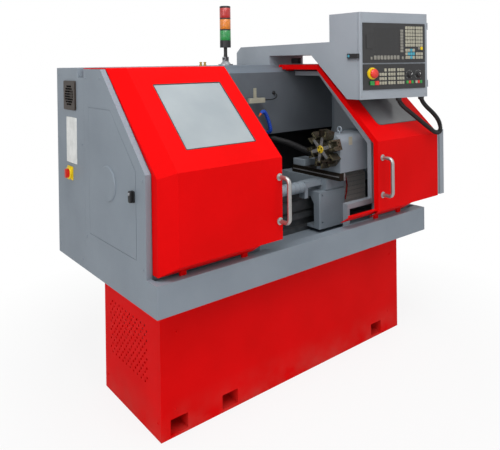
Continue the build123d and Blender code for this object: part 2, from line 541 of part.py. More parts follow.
# Tailstock and quill at the far right of the bed.
TAIL_X0 = 745.0
TAIL_X1 = 858.0
tail = block(TAIL_X0, TAIL_X1, AXIS_Y - 118, AXIS_Y + 118, BED_TOP + 0.1, BED_TOP + 50)
tail += prism_y([(TAIL_X0 + 12, BED_TOP + 40), (TAIL_X1 - 12, BED_TOP + 40), (TAIL_X1 - 5, AXIS_Z + 50),
                 (TAIL_X0 + 5, AXIS_Z + 50)], AXIS_Y - 48, AXIS_Y + 48)
tail = fillet(tail.edges().filter_by(Axis.X).group_by(Axis.Z)[-1], 20)
tail -= rod("X", 28.05, AXIS_Y, AXIS_Z, TAIL_X0 - 20, TAIL_X1 + 20)
save("tailstock", tail)
quill = rod("X", 28, AXIS_Y, AXIS_Z, TAIL_X0 - 24, TAIL_X1 + 12)
cone = Pos(TAIL_X0 - 44, AXIS_Y, AXIS_Z) * Rot(0, -90, 0) * Cone(18, 1, 42)
quill += cone
save("tailstock_quill", quill)



def shoes(xa, xb):
    # Two inverted U shoes that hang a door on the roof rail, with a running gap.
    out = []
    for x in (xa, xb):
        shoe = block(x, x + 60, RAIL_Y - 10, RAIL_Y + 22, SHELF_Z + 6, DOOR_TOP - 1)
        shoe -= block(x - 5, x + 65, RAIL_Y - 0.1, RAIL_Y + 12.1, SHELF_Z, SHELF_Z + 28.1)
        out.append(shoe)
    return out


def feet(xa, xb):
    # Two glides under the lower edge of a door, just clear of the tray's rim.
    out = []
    for x in (xa, xb):
        out.append(block(x, x + 30, DOOR_Y + BEVEL - 5, DOOR_Y + BEVEL + 7, TRAY_TOP + 0.1, BEVEL_LOW + 4))
    return out


# Left door: front and slanted sheet, mitred bevels on the left and below, and a side cheek.
door_path = [(DOOR_Y, DOOR_LOW), (DOOR_Y, DOOR_KNEE), (DOOR_TOP_Y, DOOR_TOP), (DOOR_REAR, DOOR_TOP)]
bevel = shifted(door_path, BEVEL)
top_run = (DOOR_TOP - bevel[1][1]) / (DOOR_TOP - DOOR_KNEE) * (DOOR_TOP_Y - DOOR_Y)
bevel = [(DOOR_Y + BEVEL, BEVEL_LOW), bevel[1], (bevel[1][0] + top_run, DOOR_TOP), (DOOR_REAR, DOOR_TOP)]
FACE_X0 = LEFT_X0 + 60


def ring_face(path, x, t):
    # The cut through a bent sheet at one X.
    inner = shifted(path, t)
    inner[-1] = (path[-1][0], path[-1][1] - t)
    return make_face(Polyline(*[(x, y, z) for y, z in path + inner[::-1]], close=True))


left = sheet_x(door_path, SHEET, FACE_X0, LEFT_X1)
left += loft([ring_face(bevel, LEFT_X0, SHEET), ring_face(door_path, FACE_X0, SHEET)], ruled=True)
cheek = bevel + [(DOOR_REAR, HOUSING_TOP + 1), (FLANGE_TOP_Y, HOUSING_TOP + 1), (FLANGE_Y, FLANGE_KNEE + 1)]
cheek += [(FLANGE_Y, BEVEL_LOW)]
left += prism_x(cheek, LEFT_X0, LEFT_X0 + SHEET)
low = [(DOOR_Y, DOOR_LOW), (DOOR_Y + BEVEL, BEVEL_LOW), (DOOR_Y + BEVEL, BEVEL_LOW + 2.6),
       (DOOR_Y + SHEET, DOOR_LOW + 1.2),
       (DOOR_Y, DOOR_LOW + 1.2)]
left += prism_x(low, FACE_X0, LEFT_BEVEL_END)
wedge = make_face(Polyline((LEFT_X0, DOOR_Y + BEVEL, BEVEL_LOW), (FACE_X0, DOOR_Y, DOOR_LOW),
                           (FACE_X0, DOOR_Y + BEVEL, BEVEL_LOW), close=True))
left += extrude(wedge, amount=2.2, dir=(0, 0, 1))
left += block(FACE_X0, LEFT_X1, DOOR_REAR - SHEET, DOOR_REAR, DOOR_TOP - 16, DOOR_TOP)
WIN_L = 0.64 * SLOPE_LEN
WIN_MID = 0.4965 * SLOPE_LEN
WIN_XL = -529.5
WIN_WL = 375.0
WIN_XR = 733.0
WIN_WR = 374.0
left += shoes(-840, LEFT_X1 - 100)
left += feet(FACE_X0 + 40, LEFT_BEVEL_END - 60)
hole = Box(WIN_WL, WIN_L, 40)
left -= on_slope(WIN_XL, WIN_MID, hole)
save("left_door", left)
pane_tool = Pos(0, 0, -SHEET - 2.5) * Box(WIN_WL + 24, WIN_L + 24, 5)
save("left_window", on_slope(WIN_XL, WIN_MID, pane_tool))

# Right door: the same profile with a narrow left return, a tucked lower strip and a gray edge trim.
right = sheet_x(door_path, SHEET, RIGHT_X0, RIGHT_X1)
right += band_x(door_path, 0, RETURN, RIGHT_X0, RIGHT_X0 + SHEET)
right += band_x(door_path, 0, RETURN, RIGHT_X1 - SHEET, RIGHT_X1)
right += prism_x(low, RIGHT_X0, RIGHT_X0 + 300)
STRIP_Y = DOOR_Y + 12
strip = [(STRIP_Y, DOOR_LOW + 17), (STRIP_Y, DOOR_LOW + 6), (STRIP_Y + 52, DOOR_LOW - 30),
         (STRIP_Y + 52, DOOR_LOW - 27.4), (STRIP_Y + SHEET, DOOR_LOW + 7.2), (STRIP_Y + SHEET,
                                                                              DOOR_LOW + 17)]
right += prism_x(strip, RIGHT_X0 - STRIP_L, RIGHT_X0 + 60)
right += block(RIGHT_X0 + 1, RIGHT_X0 + 60, DOOR_Y + 1, STRIP_Y + 1, DOOR_LOW + 9, DOOR_LOW + 15)
right += block(RIGHT_X0, RIGHT_X1, DOOR_REAR - SHEET, DOOR_REAR, DOOR_TOP - 16, DOOR_TOP)
right -= block(RIGHT_X0 - 5, RIGHT_X1 + 5, RAIL_Y - 4, RAIL_Y + 16, SHELF_Z, SHELF_Z + 32)
right += shoes(RIGHT_X0 + 40, 820)
right += feet(RIGHT_X0 + 40, RIGHT_X0 + 240)
hole = fillet(Box(WIN_WR, WIN_L, 40).edges().filter_by(Axis.Z), 24)
right -= on_slope(WIN_XR, WIN_MID, hole)
save("right_door", right)
pane_tool = Pos(0, 0, -SHEET - 2.5) * Box(WIN_WR + 24, WIN_L + 24, 5)
save("right_window", on_slope(WIN_XR, WIN_MID, pane_tool))
trim = block(RIGHT_X1, RIGHT_X1 + TRIM_W / 2, DOOR_Y + 14, DOOR_Y + 16, DOOR_LOW, DOOR_KNEE + 12)
trim += block(RIGHT_X1 + TRIM_W / 2 - SHEET, RIGHT_X1 + TRIM_W / 2, DOOR_Y + 8, DOOR_Y + 16, DOOR_LOW,
              DOOR_KNEE + 12)
trim += block(RIGHT_X1 + TRIM_W / 2 - SHEET, RIGHT_X1 + TRIM_W, DOOR_Y + 8, DOOR_Y + 10, DOOR_LOW,
              DOOR_KNEE + 12)
inner_path = shifted(door_path, 8)
trim += sheet_x(inner_path, SHEET, RIGHT_X1, RIGHT_X1 + 14)
trim += band_x(inner_path, 0, 22, RIGHT_X1, RIGHT_X1 + SHEET)
trim -= block(RIGHT_X1 - 5, RIGHT_X1 + 50, RAIL_Y - 4, RAIL_Y + 16, SHELF_Z, SHELF_Z + 32)
save("right_door_trim", trim)

# Bow handles.
for name, x in (("left_handle", LEFT_X1 - 17), ("right_handle", RIGHT_X0 + 37)):
    grip = tube([(x, DOOR_Y, HANDLE_LOW), (x, DOOR_Y - HANDLE_GAP, HANDLE_LOW),
                 (x, DOOR_Y - HANDLE_GAP, HANDLE_HIGH),
                 (x, DOOR_Y, HANDLE_HIGH)], HANDLE_R, 24)
    save(name, grip)

# Control arm and box: one folded housing whose left plate lies in a single plane.
def arm_shape(t):
    # The outer body for t = 0, or the room inside walls of thickness t.
    pts = [(DEEP_Y - t, ROOF_Z + t), (DEEP_Y - t, ROOF_Z + 82 - t / 2), (694 - t / 2, ROOF_Z + 120 - t),
           (BOX_BACK - t, ROOF_Z + 128 - t)]
    pts += [(BOX_BACK - t, BOX_TOP - t), (-520, BOX_TOP - t), (-520, BOX_LOW + t),
            (-261 + t / 2, BOX_LOW + t)]
    pts += [(-38, ROOF_Z + 8 + 1.5 * t), (18, ROOF_Z + 57 + t), (393 + t, ROOF_Z + 57 + t),
            (393 + t, ROOF_Z + t)]
    body = prism_x(pts, ARM_X + t, ARM_X + BOX_W * math.cos(math.radians(FACE_TURN)) + 11 - t)
    body -= block(ARM_X + ARM_W - t, 2000, BOX_BACK - t, 900, BOX_LOW - 84, BOX_TOP + 39)
    body -= FACE * block(-300, 900, -400, t / 4, BOX_LOW - 84, BOX_TOP + 39)
    return body


arm = arm_shape(0) - arm_shape(SHEET)
arm -= FACE * block(8, BOX_W - 28, -5, 12, BOX_LOW + 24, BOX_TOP - 24)
LEVER_Y = -277.0
LEVER_Z = ROOF_Z + 45
for side_z in (LEVER_Z - 18, LEVER_Z + 13.3):
    ear = block(ARM_X - 12, ARM_X + 0.5, LEVER_Y - 6, LEVER_Y + 6, side_z, side_z + 4.7)
    arm += ear - rod("Z", 2.05, ARM_X - 7.5, LEVER_Y, side_z - 5, side_z + 10)
save("control_arm", arm)

# Control door on the slanted face, hinged on its right edge.
leaf = block(2, BOX_W, -18.4, -0.4, BOX_LOW, BOX_TOP)
leaf = fillet(leaf.edges().filter_by(Axis.Z).group_by(Axis.Y)[0], 4)
leaf -= block(4, BOX_W - 2, -16.4, 5, BOX_LOW + 2, BOX_TOP - 2)
leaf -= block(PANEL_L + 9, PANEL_L + PANEL_W - 9, -30, 5, SCREEN_LOW + 9, SCREEN_LOW + SCREEN_H - 9)
leaf -= block(PANEL_L + 9, PANEL_L + PANEL_W - 9, -30, 5, KEYS_LOW + 9, KEYS_LOW + KEYS_H - 9)
for z in (BOX_LOW + 76, BOX_TOP - 70):
    leaf += block(BOX_W - 1, BOX_W + 9, -14, -2, z - 20, z + 20)
save("control_door", FACE * leaf)
screen = block(PANEL_L, PANEL_L + PANEL_W, -23, -18.4, SCREEN_LOW, SCREEN_LOW + SCREEN_H)
screen += block(PANEL_L + 9.4, PANEL_L + PANEL_W - 9.4, -19, 22, SCREEN_LOW + 9.4,
                SCREEN_LOW + SCREEN_H - 9.4)
screen -= block(SCREEN_X, SCREEN_X + 180, -25, -21.5, SCREEN_LOW + 46, SCREEN_LOW + 192)
screen += block(PANEL_L + 21, PANEL_L + 63, -24.5, -22, SCREEN_LOW + 78, SCREEN_LOW + 153)
caps = [(SCREEN_X + 7.5 + n * 23.3, SCREEN_LOW + 29, 17, 22) for n in range(8)]
caps += [(SCREEN_X - 18, SCREEN_LOW + 26, 11, 15), (SCREEN_X + 204, SCREEN_LOW + 26, 11, 15)]
caps += [(SCREEN_X + 198, SCREEN_LOW + 64 + n * 16.4, 20, 13) for n in range(8)]
for row in range(6):
    z = SCREEN_LOW + 196 - row * 19.6
    caps += [(SCREEN_X + 232.5 + n * 18.2, z, 15, 16) for n in range(4)]
    caps += [(SCREEN_X + 309.5 + n * 18.2, z, 15, 16) for n in range(3)]
for row in range(3):
    z = SCREEN_LOW + 69 - row * 20.4
    caps += [(SCREEN_X + 232.5 + n * 17.6, z, 15, 16) for n in range(4)]
    if row:
        caps += [(SCREEN_X + 309.5 + n * 18.2, z, 15, 16) for n in range(3)]
caps += [(SCREEN_X + 326, SCREEN_LOW + 80, 13, 14), (SCREEN_X + 345.5, SCREEN_LOW + 80, 15, 17)]
for x, z, w, h in caps:
    screen += block(x - w / 2, x + w / 2, -25.5, -22, z - h / 2, z + h / 2)
save("display_unit", FACE * screen)
keys = block(PANEL_L, PANEL_L + PANEL_W, -23, -18.4, KEYS_LOW, KEYS_LOW + KEYS_H)
keys += block(PANEL_L + 9.4, PANEL_L + PANEL_W - 9.4, -19, 18, KEYS_LOW + 9.4, KEYS_LOW + KEYS_H - 9.4)
caps = []
for row in range(4):
    z = KEYS_LOW + 35 + row * 24
    for group, x in enumerate((137, 200, 264.5)):
        first = 2 if group == 0 and row == 3 else 0
        caps += [(x + n * 18.2, z) for n in range(first, 3)]
caps += [(332 + n * 18 + (13 if n > 2 else 0), KEYS_LOW + 36) for n in range(6)]
for x, z in caps:
    keys += block(x - 7, x + 7, -25.5, -22, z - 8, z + 8)
BUTTONS = {"estop_button": (STOP_E, STOP_Z, 9), "start_button": (75.5, KEYS_LOW + 37, 7),
           "stop_button": (107.7, KEYS_LOW + 37, 7),
           "feed_knob": (346.4, ROOF_Z - 63, 5), "speed_knob": (413.5, ROOF_Z - 63, 5)}
for name in BUTTONS:
    x, z, r = BUTTONS[name]
    keys -= rod("Y", r, x, z, -30, 25)
collar = rod("Y", STOP_RING_R, STOP_E, STOP_Z, -30, -22) - rod("Y", 9, STOP_E, STOP_Z, -40, 0)
keys += collar
save("key_panel", FACE * keys)
stop = rod("Y", STOP_R, STOP_E, STOP_Z, -55, -38)
stop = fillet(stop.faces().sort_by(Axis.Y)[0].edges(), 5)
stop += rod("Y", 8.9, STOP_E, STOP_Z, -39, 16)
stop += rod("Y", 12, STOP_E, STOP_Z, 18.5, 21) + rod("Y", 6, STOP_E, STOP_Z, 15, 19)
save("estop_button", FACE * stop)
for name in ("start_button", "stop_button"):
    x, z, r = BUTTONS[name]
    cap = block(x - 13.5, x + 13.5, -33, -26.5, z - 11.5, z + 11.5)
    cap = fillet(cap.edges().filter_by(Axis.Y), 2)
    cap += rod("Y", r - 0.1, x, z, -27, 16)
    cap += rod("Y", r + 3, x, z, 18.5, 21) + rod("Y", r - 2, x, z, 15, 19)
    save(name, FACE * cap)
for name in ("feed_knob", "speed_knob"):
    x, z, r = BUTTONS[name]
    dial = rod("Y", 19, x, z, -32, -23.1)
    dial += Pos(x, -36, z) * Rot(0, 35 if name == "feed_knob" else -20, 0) * Box(7, 12, 34)
    dial += rod("Y", r - 0.05, x, z, -24, 12)
    save(name, FACE * dial)
# Latch lever on the arm's left plate: it turns on a pin between two ears and holds the leaf's edge.
lever = block(ARM_X - 15, ARM_X - 2.3, LEVER_Y - 78, LEVER_Y, LEVER_Z - 13, LEVER_Z + 13)
lever = fillet(lever.edges().filter_by(Axis.Z).group_by(Axis.Y)[0], 4)
lever += rod("Z", 5.2, ARM_X - 7.5, LEVER_Y, LEVER_Z - 13, LEVER_Z + 13)
lever += rod("Z", 2, ARM_X - 7.5, LEVER_Y, LEVER_Z - 17, LEVER_Z + 17)
save("box_lock", lever)

# Conduit loop under the control box.
loop_pts = [(690, -385, BOX_LOW), (690, -385, BOX_LOW - 32), (755, -428, BOX_LOW - 94),
            (875, -461, BOX_LOW - 184), (945, -466, BOX_LOW - 223), (995, -464, BOX_LOW - 206),
            (970, -458, BOX_LOW - 129), (852, -423, BOX_LOW - 32), (852, -423, BOX_LOW)]
conduit = tube(loop_pts, 13, 22)
save("conduit_loop", conduit)

# Signal tower: foot on the roof, folding stack with three lenses.
foot = rod("Z", 46, TOWER_X, TOWER_Y, ROOF_Z, ROOF_Z + 8)
foot += Pos(TOWER_X, TOWER_Y, ROOF_Z + 15.5) * Cone(34, 20, 17)
foot += block(TOWER_X - 15, TOWER_X - 6.1, TOWER_Y - 14, TOWER_Y + 14, ROOF_Z + 20, PIVOT_Z + 12)
foot += block(TOWER_X + 6.1, TOWER_X + 15, TOWER_Y - 14, TOWER_Y + 14, ROOF_Z + 20, PIVOT_Z + 12)
foot -= rod("X", 5, TOWER_Y, PIVOT_Z, TOWER_X - 30, TOWER_X + 30)
save("tower_foot", foot)
stack = block(TOWER_X - 6, TOWER_X + 6, TOWER_Y - 12, TOWER_Y + 12, PIVOT_Z - 8, PIVOT_Z + 24)
stack += rod("X", 4.9, TOWER_Y, PIVOT_Z, TOWER_X - 22, TOWER_X + 22)
stack += rod("Z", 11, TOWER_X, TOWER_Y, PIVOT_Z + 21, STACK_Z + 2)
stack += rod("Z", TOWER_R, TOWER_X, TOWER_Y, STACK_Z, STACK_Z + 44)
stack += rod("Z", 6, TOWER_X, TOWER_Y, STACK_Z + 40, STACK_Z + 260)
lens_z = STACK_Z + 44
for n in range(3):
    if n:
        stack += rod("Z", TOWER_R, TOWER_X, TOWER_Y, lens_z, lens_z + 8)
        lens_z += 8
    name = ("lens_green", "lens_amber", "lens_red")[n]
    lens = rod("Z", TOWER_R - 1, TOWER_X, TOWER_Y, lens_z, lens_z + LENS_H)
    lens -= rod("Z", TOWER_R - 5, TOWER_X, TOWER_Y, lens_z, lens_z + LENS_H)
    save(name, lens)
    lens_z += LENS_H
top = rod("Z", TOWER_R, TOWER_X, TOWER_Y, lens_z, lens_z + 12)
stack += fillet(top.faces().sort_by(Axis.Z)[-1].edges(), 5)
save("tower_stack", stack)

# Work lamp on the back wall, its cable, and the blue coolant hose.
LAMP_X = 165.0
lamp = block(LAMP_X - 66, LAMP_X + 60, 236, 268, SHELF_Z - 180, SHELF_Z - 152)
lamp = fillet(lamp.edges().filter_by(Axis.Z), 12)
lamp += block(LAMP_X + 12, LAMP_X + 34, 262, WALL_Y, SHELF_Z - 160, SHELF_Z - 152)
lamp += block(LAMP_X + 12, LAMP_X + 34, WALL_Y - 4, WALL_Y, SHELF_Z - 160, SHELF_Z - 94)
lamp -= block(LAMP_X - 58, LAMP_X + 30, 240, 264, SHELF_Z - 184, SHELF_Z - 176)
save("work_lamp", lamp)
cable_pts = [(LAMP_X + 60, 252, SHELF_Z - 166), (LAMP_X + 80, 252, SHELF_Z - 166),
             (LAMP_X + 160, 276, SHELF_Z - 168), (LAMP_X + 192, 280, SHELF_Z - 150),
             (LAMP_X + 176, 284, SHELF_Z - 128), (LAMP_X + 176, WALL_Y, SHELF_Z - 128)]
cable = tube(cable_pts, 3, 5)
save("lamp_cable", cable)
hose = tube([(290, WALL_Y, WALL_LOW + 14), (290, 268, WALL_LOW + 14), (272, 262, WALL_LOW + 69),
             (240, 258, WALL_LOW + 137), (210, 256, WALL_LOW + 154), (184, 256, WALL_LOW + 120)],
            9, 13)
save("coolant_hose", hose)
print("pieces written:", len([f for f in os.listdir("parts") if f.endswith(".step")]))
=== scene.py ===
# %% [markdown]
# # A turning lathe in a hooded enclosure
# The machine is a flat-bed lathe: red hooded doors, a gray tray and arm, a red base. Its solids come from the CAD
# model and are already in place. This script gives them their finishes and adds what a solid model leaves out:
# keys, cords, ribs, seals and screws.

# %% Load the solids
import json
import math
import bmesh
import bpy
import numpy as np
from mathutils import Matrix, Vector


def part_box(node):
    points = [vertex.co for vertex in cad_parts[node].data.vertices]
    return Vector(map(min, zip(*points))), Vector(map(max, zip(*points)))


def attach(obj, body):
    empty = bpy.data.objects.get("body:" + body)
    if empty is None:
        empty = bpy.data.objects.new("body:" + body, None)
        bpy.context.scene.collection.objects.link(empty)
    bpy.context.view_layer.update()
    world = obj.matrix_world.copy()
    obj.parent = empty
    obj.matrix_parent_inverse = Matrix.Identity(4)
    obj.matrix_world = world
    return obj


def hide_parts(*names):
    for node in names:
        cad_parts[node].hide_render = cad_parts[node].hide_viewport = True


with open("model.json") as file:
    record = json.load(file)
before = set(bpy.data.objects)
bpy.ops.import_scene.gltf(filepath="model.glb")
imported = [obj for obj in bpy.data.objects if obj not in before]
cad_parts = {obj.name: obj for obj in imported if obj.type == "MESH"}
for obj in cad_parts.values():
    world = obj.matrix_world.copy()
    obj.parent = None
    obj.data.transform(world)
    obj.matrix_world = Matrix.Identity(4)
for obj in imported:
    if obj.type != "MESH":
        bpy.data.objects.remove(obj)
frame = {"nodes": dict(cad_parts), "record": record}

scene = bpy.context.scene
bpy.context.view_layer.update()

# %% [markdown]
# The camera stands to the front left, at the height of the roof. It looks almost level, and the picture is taken
# from the lower part of its image, as with a shift lens, so upright edges stay upright.

# %% Camera
yaw, pitch, roll = (math.radians(v) for v in (38.79, 0.44, -0.70))
forward = np.array([math.sin(yaw) * math.cos(pitch), math.cos(yaw) * math.cos(pitch), -math.sin(pitch)])
level = np.array([math.cos(yaw), -math.sin(yaw), 0.0])
upward = np.cross(level, forward)
right = level * math.cos(roll) + upward * math.sin(roll)
above = upward * math.cos(roll) - level * math.sin(roll)
camera_data = bpy.data.cameras.new("photo_camera")
camera_data.sensor_width = 36.0
camera_data.lens = 39.82
camera_data.shift_y = -0.3186
camera = bpy.data.objects.new("photo_camera", camera_data)
turned_to = Matrix(np.column_stack([right, above, -forward]).tolist()).to_4x4()
camera.matrix_world = Matrix.Translation((-1.9492, -2.3169, 1.5994)) @ turned_to
scene.collection.objects.link(camera)
scene.camera = camera
print("camera at", tuple(round(v, 3) for v in camera.location))

# %% [markdown]
# Most new pieces are one of three shapes: a grid of points joined by four-sided faces, rings carried along a path,
# or a profile turned about an axis. Working them out as whole arrays keeps the code short and exact.

# %% Grids of points made into meshes
def grid_faces(rows, columns, wrap_rows, wrap_columns):
    """Faces between neighbouring points, numbered row by row. A wrapped direction joins its last line to its
    first."""
    i, j = np.meshgrid(np.arange(rows if wrap_rows else rows - 1),
                       np.arange(columns if wrap_columns else columns - 1), indexing="ij")
    below = (i + 1) % rows
    beside = (j + 1) % columns
    corners = [i * columns + j, below * columns + j, below * columns + beside, i * columns + beside]
    return np.stack(corners, axis=-1).reshape(-1, 4)


def surface(name, points, wrap_rows=False, wrap_columns=True, smooth=True, sharp=40.0):
    """A mesh from points[row, column], or from points[copy, row, column] where a shape is repeated."""
    points = np.asarray(points, dtype=float)
    rows, columns = points.shape[-3:-1]
    shapes = points.reshape(-1, rows * columns, 3)
    faces = grid_faces(rows, columns, wrap_rows, wrap_columns)
    faces = faces[None] + (np.arange(len(shapes)) * rows * columns)[:, None, None]
    mesh = bpy.data.meshes.new(name)
    mesh.from_pydata(shapes.reshape(-1, 3).tolist(), [], faces.reshape(-1, 4).tolist())
    tidy = bmesh.new()
    tidy.from_mesh(mesh)
    bmesh.ops.remove_doubles(tidy, verts=tidy.verts, dist=1e-6)
    bmesh.ops.recalc_face_normals(tidy, faces=tidy.faces)
    tidy.to_mesh(mesh)
    tidy.free()
    mesh.polygons.foreach_set("use_smooth", np.full(len(mesh.polygons), smooth))
    mesh.set_sharp_from_angle(angle=math.radians(sharp))
    thing = bpy.data.objects.new(name, mesh)
    scene.collection.objects.link(thing)
    return thing


print("grid faces of a 3 by 4 tube:", len(grid_faces(3, 4, False, True)))


# %% Rings along a path, and turned profiles
def unit(vectors):
    """Vectors divided by their own length."""
    return vectors / np.linalg.norm(vectors, axis=-1, keepdims=True)


def tube(path, radii, sides=16, across=(0.0, 0.0, 1.0)):
    """Rings carried along a path: centre + radius * (cos a * side + sin a * top), where side is square to the path
    and to the direction across, and top is square to both. The two ends are closed by rings of no radius."""
    path = np.asarray(path, dtype=float)
    radii = np.broadcast_to(radii, len(path))
    heading = unit(np.gradient(path, axis=0))
    side = unit(np.cross(heading, np.asarray(across)))
    top = np.cross(side, heading)
    a = np.linspace(0, 2 * np.pi, sides, endpoint=False)[None, :, None]
    rings = path[:, None] + radii[:, None, None] * (np.cos(a) * side[:, None] + np.sin(a) * top[:, None])
    first = np.broadcast_to(path[0], (1, sides, 3))
    last = np.broadcast_to(path[-1], (1, sides, 3))
    return np.concatenate([first, rings, last])


def turned(profile, origin, axis, sides=32, flutes=0, depth=0.0):
    """A profile of (distance along the axis, radius) turned about it. Flutes vary the radius by depth times
    cos(n a)."""
    profile = np.asarray(profile, dtype=float)
    axis = unit(np.asarray(axis, dtype=float))
    helper = np.array([0.0, 0.0, 1.0]) if abs(axis[2]) < 0.9 else np.array([1.0, 0.0, 0.0])
    side = unit(np.cross(axis, helper))
    top = np.cross(axis, side)
    a = np.linspace(0, 2 * np.pi, sides, endpoint=False)
    swell = 1.0 + depth * np.cos(flutes * a) if flutes else np.ones(sides)
    round_part = np.cos(a)[:, None] * side + np.sin(a)[:, None] * top
    out = profile[:, 1][:, None, None] * (swell[:, None] * round_part)[None]
    return np.asarray(origin) + profile[:, 0][:, None, None] * axis + out


print("a tube of two points has", len(tube([(0, 0, 0), (1, 0, 0)], 0.1)), "rings")


# %% Blocks with round edges
def rounded_block(size, softness=0.22, rows=9, columns=20):
    """A block with round edges, about the origin: half sizes times powers of sines and cosines. The power is the
    softness: at 1 it is an egg and near 0 a sharp box."""
    u = np.linspace(-np.pi / 2, np.pi / 2, rows)[:, None]
    v = np.linspace(-np.pi, np.pi, columns, endpoint=False)[None, :]

    def wave(w):
        return np.sign(w) * np.abs(w) ** softness

    x = wave(np.cos(u)) * wave(np.cos(v))
    y = wave(np.cos(u)) * wave(np.sin(v))
    z = wave(np.sin(u)) * np.ones_like(v)
    return np.stack([x, y, z], axis=-1) * np.asarray(size) / 2


def block_at(size, place, softness=0.22, rows=9, columns=20):
    """A round-edged block with its middle at a place. Size and place are in millimetres, the result in metres."""
    return (rounded_block(size, softness, rows, columns) + np.array(place)) / 1000.0


print("a block of", rounded_block((1, 1, 1)).shape[0], "rings")

# %% [markdown]
# Two cords show: the ribbed conduit that loops under the control box, and the thin lead of the work lamp. A cord
# is a fixed length on one smooth curve, so its route is a few control points and Blender's curve does the rest.

# %% Routes of the cords, in metres
CONDUIT_ROUTE = [(0.690, -0.385, 1.384), (0.690, -0.385, 1.352), (0.755, -0.428, 1.290), (0.875, -0.461, 1.200),
                 (0.945, -0.466, 1.161), (0.995, -0.464, 1.178), (0.970, -0.458, 1.255), (0.852, -0.423, 1.352),
                 (0.852, -0.423, 1.384)]
LEAD_ROUTE = [(0.225, 0.252, 1.364), (0.245, 0.252, 1.364), (0.325, 0.276, 1.362), (0.357, 0.280, 1.380),
              (0.341, 0.284, 1.402), (0.341, 0.300, 1.402)]
HOSE_ROUTE = [(0.290, 0.300, 1.160), (0.290, 0.268, 1.160), (0.272, 0.262, 1.215), (0.240, 0.258, 1.283),
              (0.210, 0.256, 1.300), (0.184, 0.256, 1.266)]
CHAIN_ROUTE = [(0.350, 0.334, 1.110), (0.345, 0.200, 1.104), (0.342, 0.110, 1.090), (0.352, 0.020, 1.068),
               (0.372, -0.040, 1.048), (0.372, -0.080, 1.048)]
print("control points:", len(CONDUIT_ROUTE), len(LEAD_ROUTE), len(HOSE_ROUTE), len(CHAIN_ROUTE))


# %% A line along a route
def route_line(route, step):
    """Points a step apart along one open NURBS curve, whose control points are the route."""
    curve = bpy.data.curves.new("guide", "CURVE")
    curve.dimensions = "3D"
    curve.resolution_u = 24
    spline = curve.splines.new("NURBS")
    spline.points.add(len(route) - 1)
    spline.points.foreach_set("co", np.column_stack([np.array(route), np.ones(len(route))]).ravel())
    spline.order_u = 3
    spline.use_endpoint_u = True
    guide = bpy.data.objects.new("guide", curve)
    scene.collection.objects.link(guide)
    line = bpy.data.meshes.new_from_object(guide)
    flat = np.empty(len(line.vertices) * 3)
    line.vertices.foreach_get("co", flat)
    bpy.data.objects.remove(guide)
    points = flat.reshape(-1, 3)
    run = np.concatenate([[0.0], np.cumsum(np.linalg.norm(np.diff(points, axis=0), axis=1))])
    stops = np.linspace(0, run[-1], max(3, round(run[-1] / step)))
    return np.column_stack([np.interp(stops, run, points[:, k]) for k in range(3)])


print("points on the lead at 10 mm:", len(route_line(LEAD_ROUTE, 0.010)))

# %% Conduit and lamp lead
conduit_line = route_line(CONDUIT_ROUTE, 0.00105)
rib = np.where(np.arange(len(conduit_line)) % 8 < 4, 0.013, 0.0100)
conduit = surface("ribbed_conduit", tube(conduit_line, rib, 18, (0.2, 0.9, 0.3)), sharp=30)
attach(conduit, "frame")
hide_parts("conduit_loop")
lead_line = route_line(LEAD_ROUTE, 0.002)
lead = surface("lamp_lead", tube(lead_line, 0.003, 14, (0.0, 1.0, 0.0)))
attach(lead, "frame")
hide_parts("lamp_cable")
print("conduit rings:", len(conduit_line))

# %% Glands where the conduit enters the box
gland_profile = [(0, 0), (0, 0.019), (0.004, 0.019), (0.004, 0.0165), (0.016, 0.0165), (0.018, 0.0145), (0.018, 0)]
gland_places = [(0.690, -0.385, 1.3842), (0.852, -0.423, 1.3842)]
glands = surface("conduit_glands", [turned(gland_profile, p, (0, 0, -1), 6 * 4) for p in gland_places])
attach(glands, "frame")
print("glands:", len(gland_places), "cords: 2")

# %% [markdown]
# Finishes are node materials. A small class wraps one socket, so that ordinary arithmetic on it adds Math nodes,
# and its method node adds any other kind. Patterns read Object coordinates, which are metres on the machine.

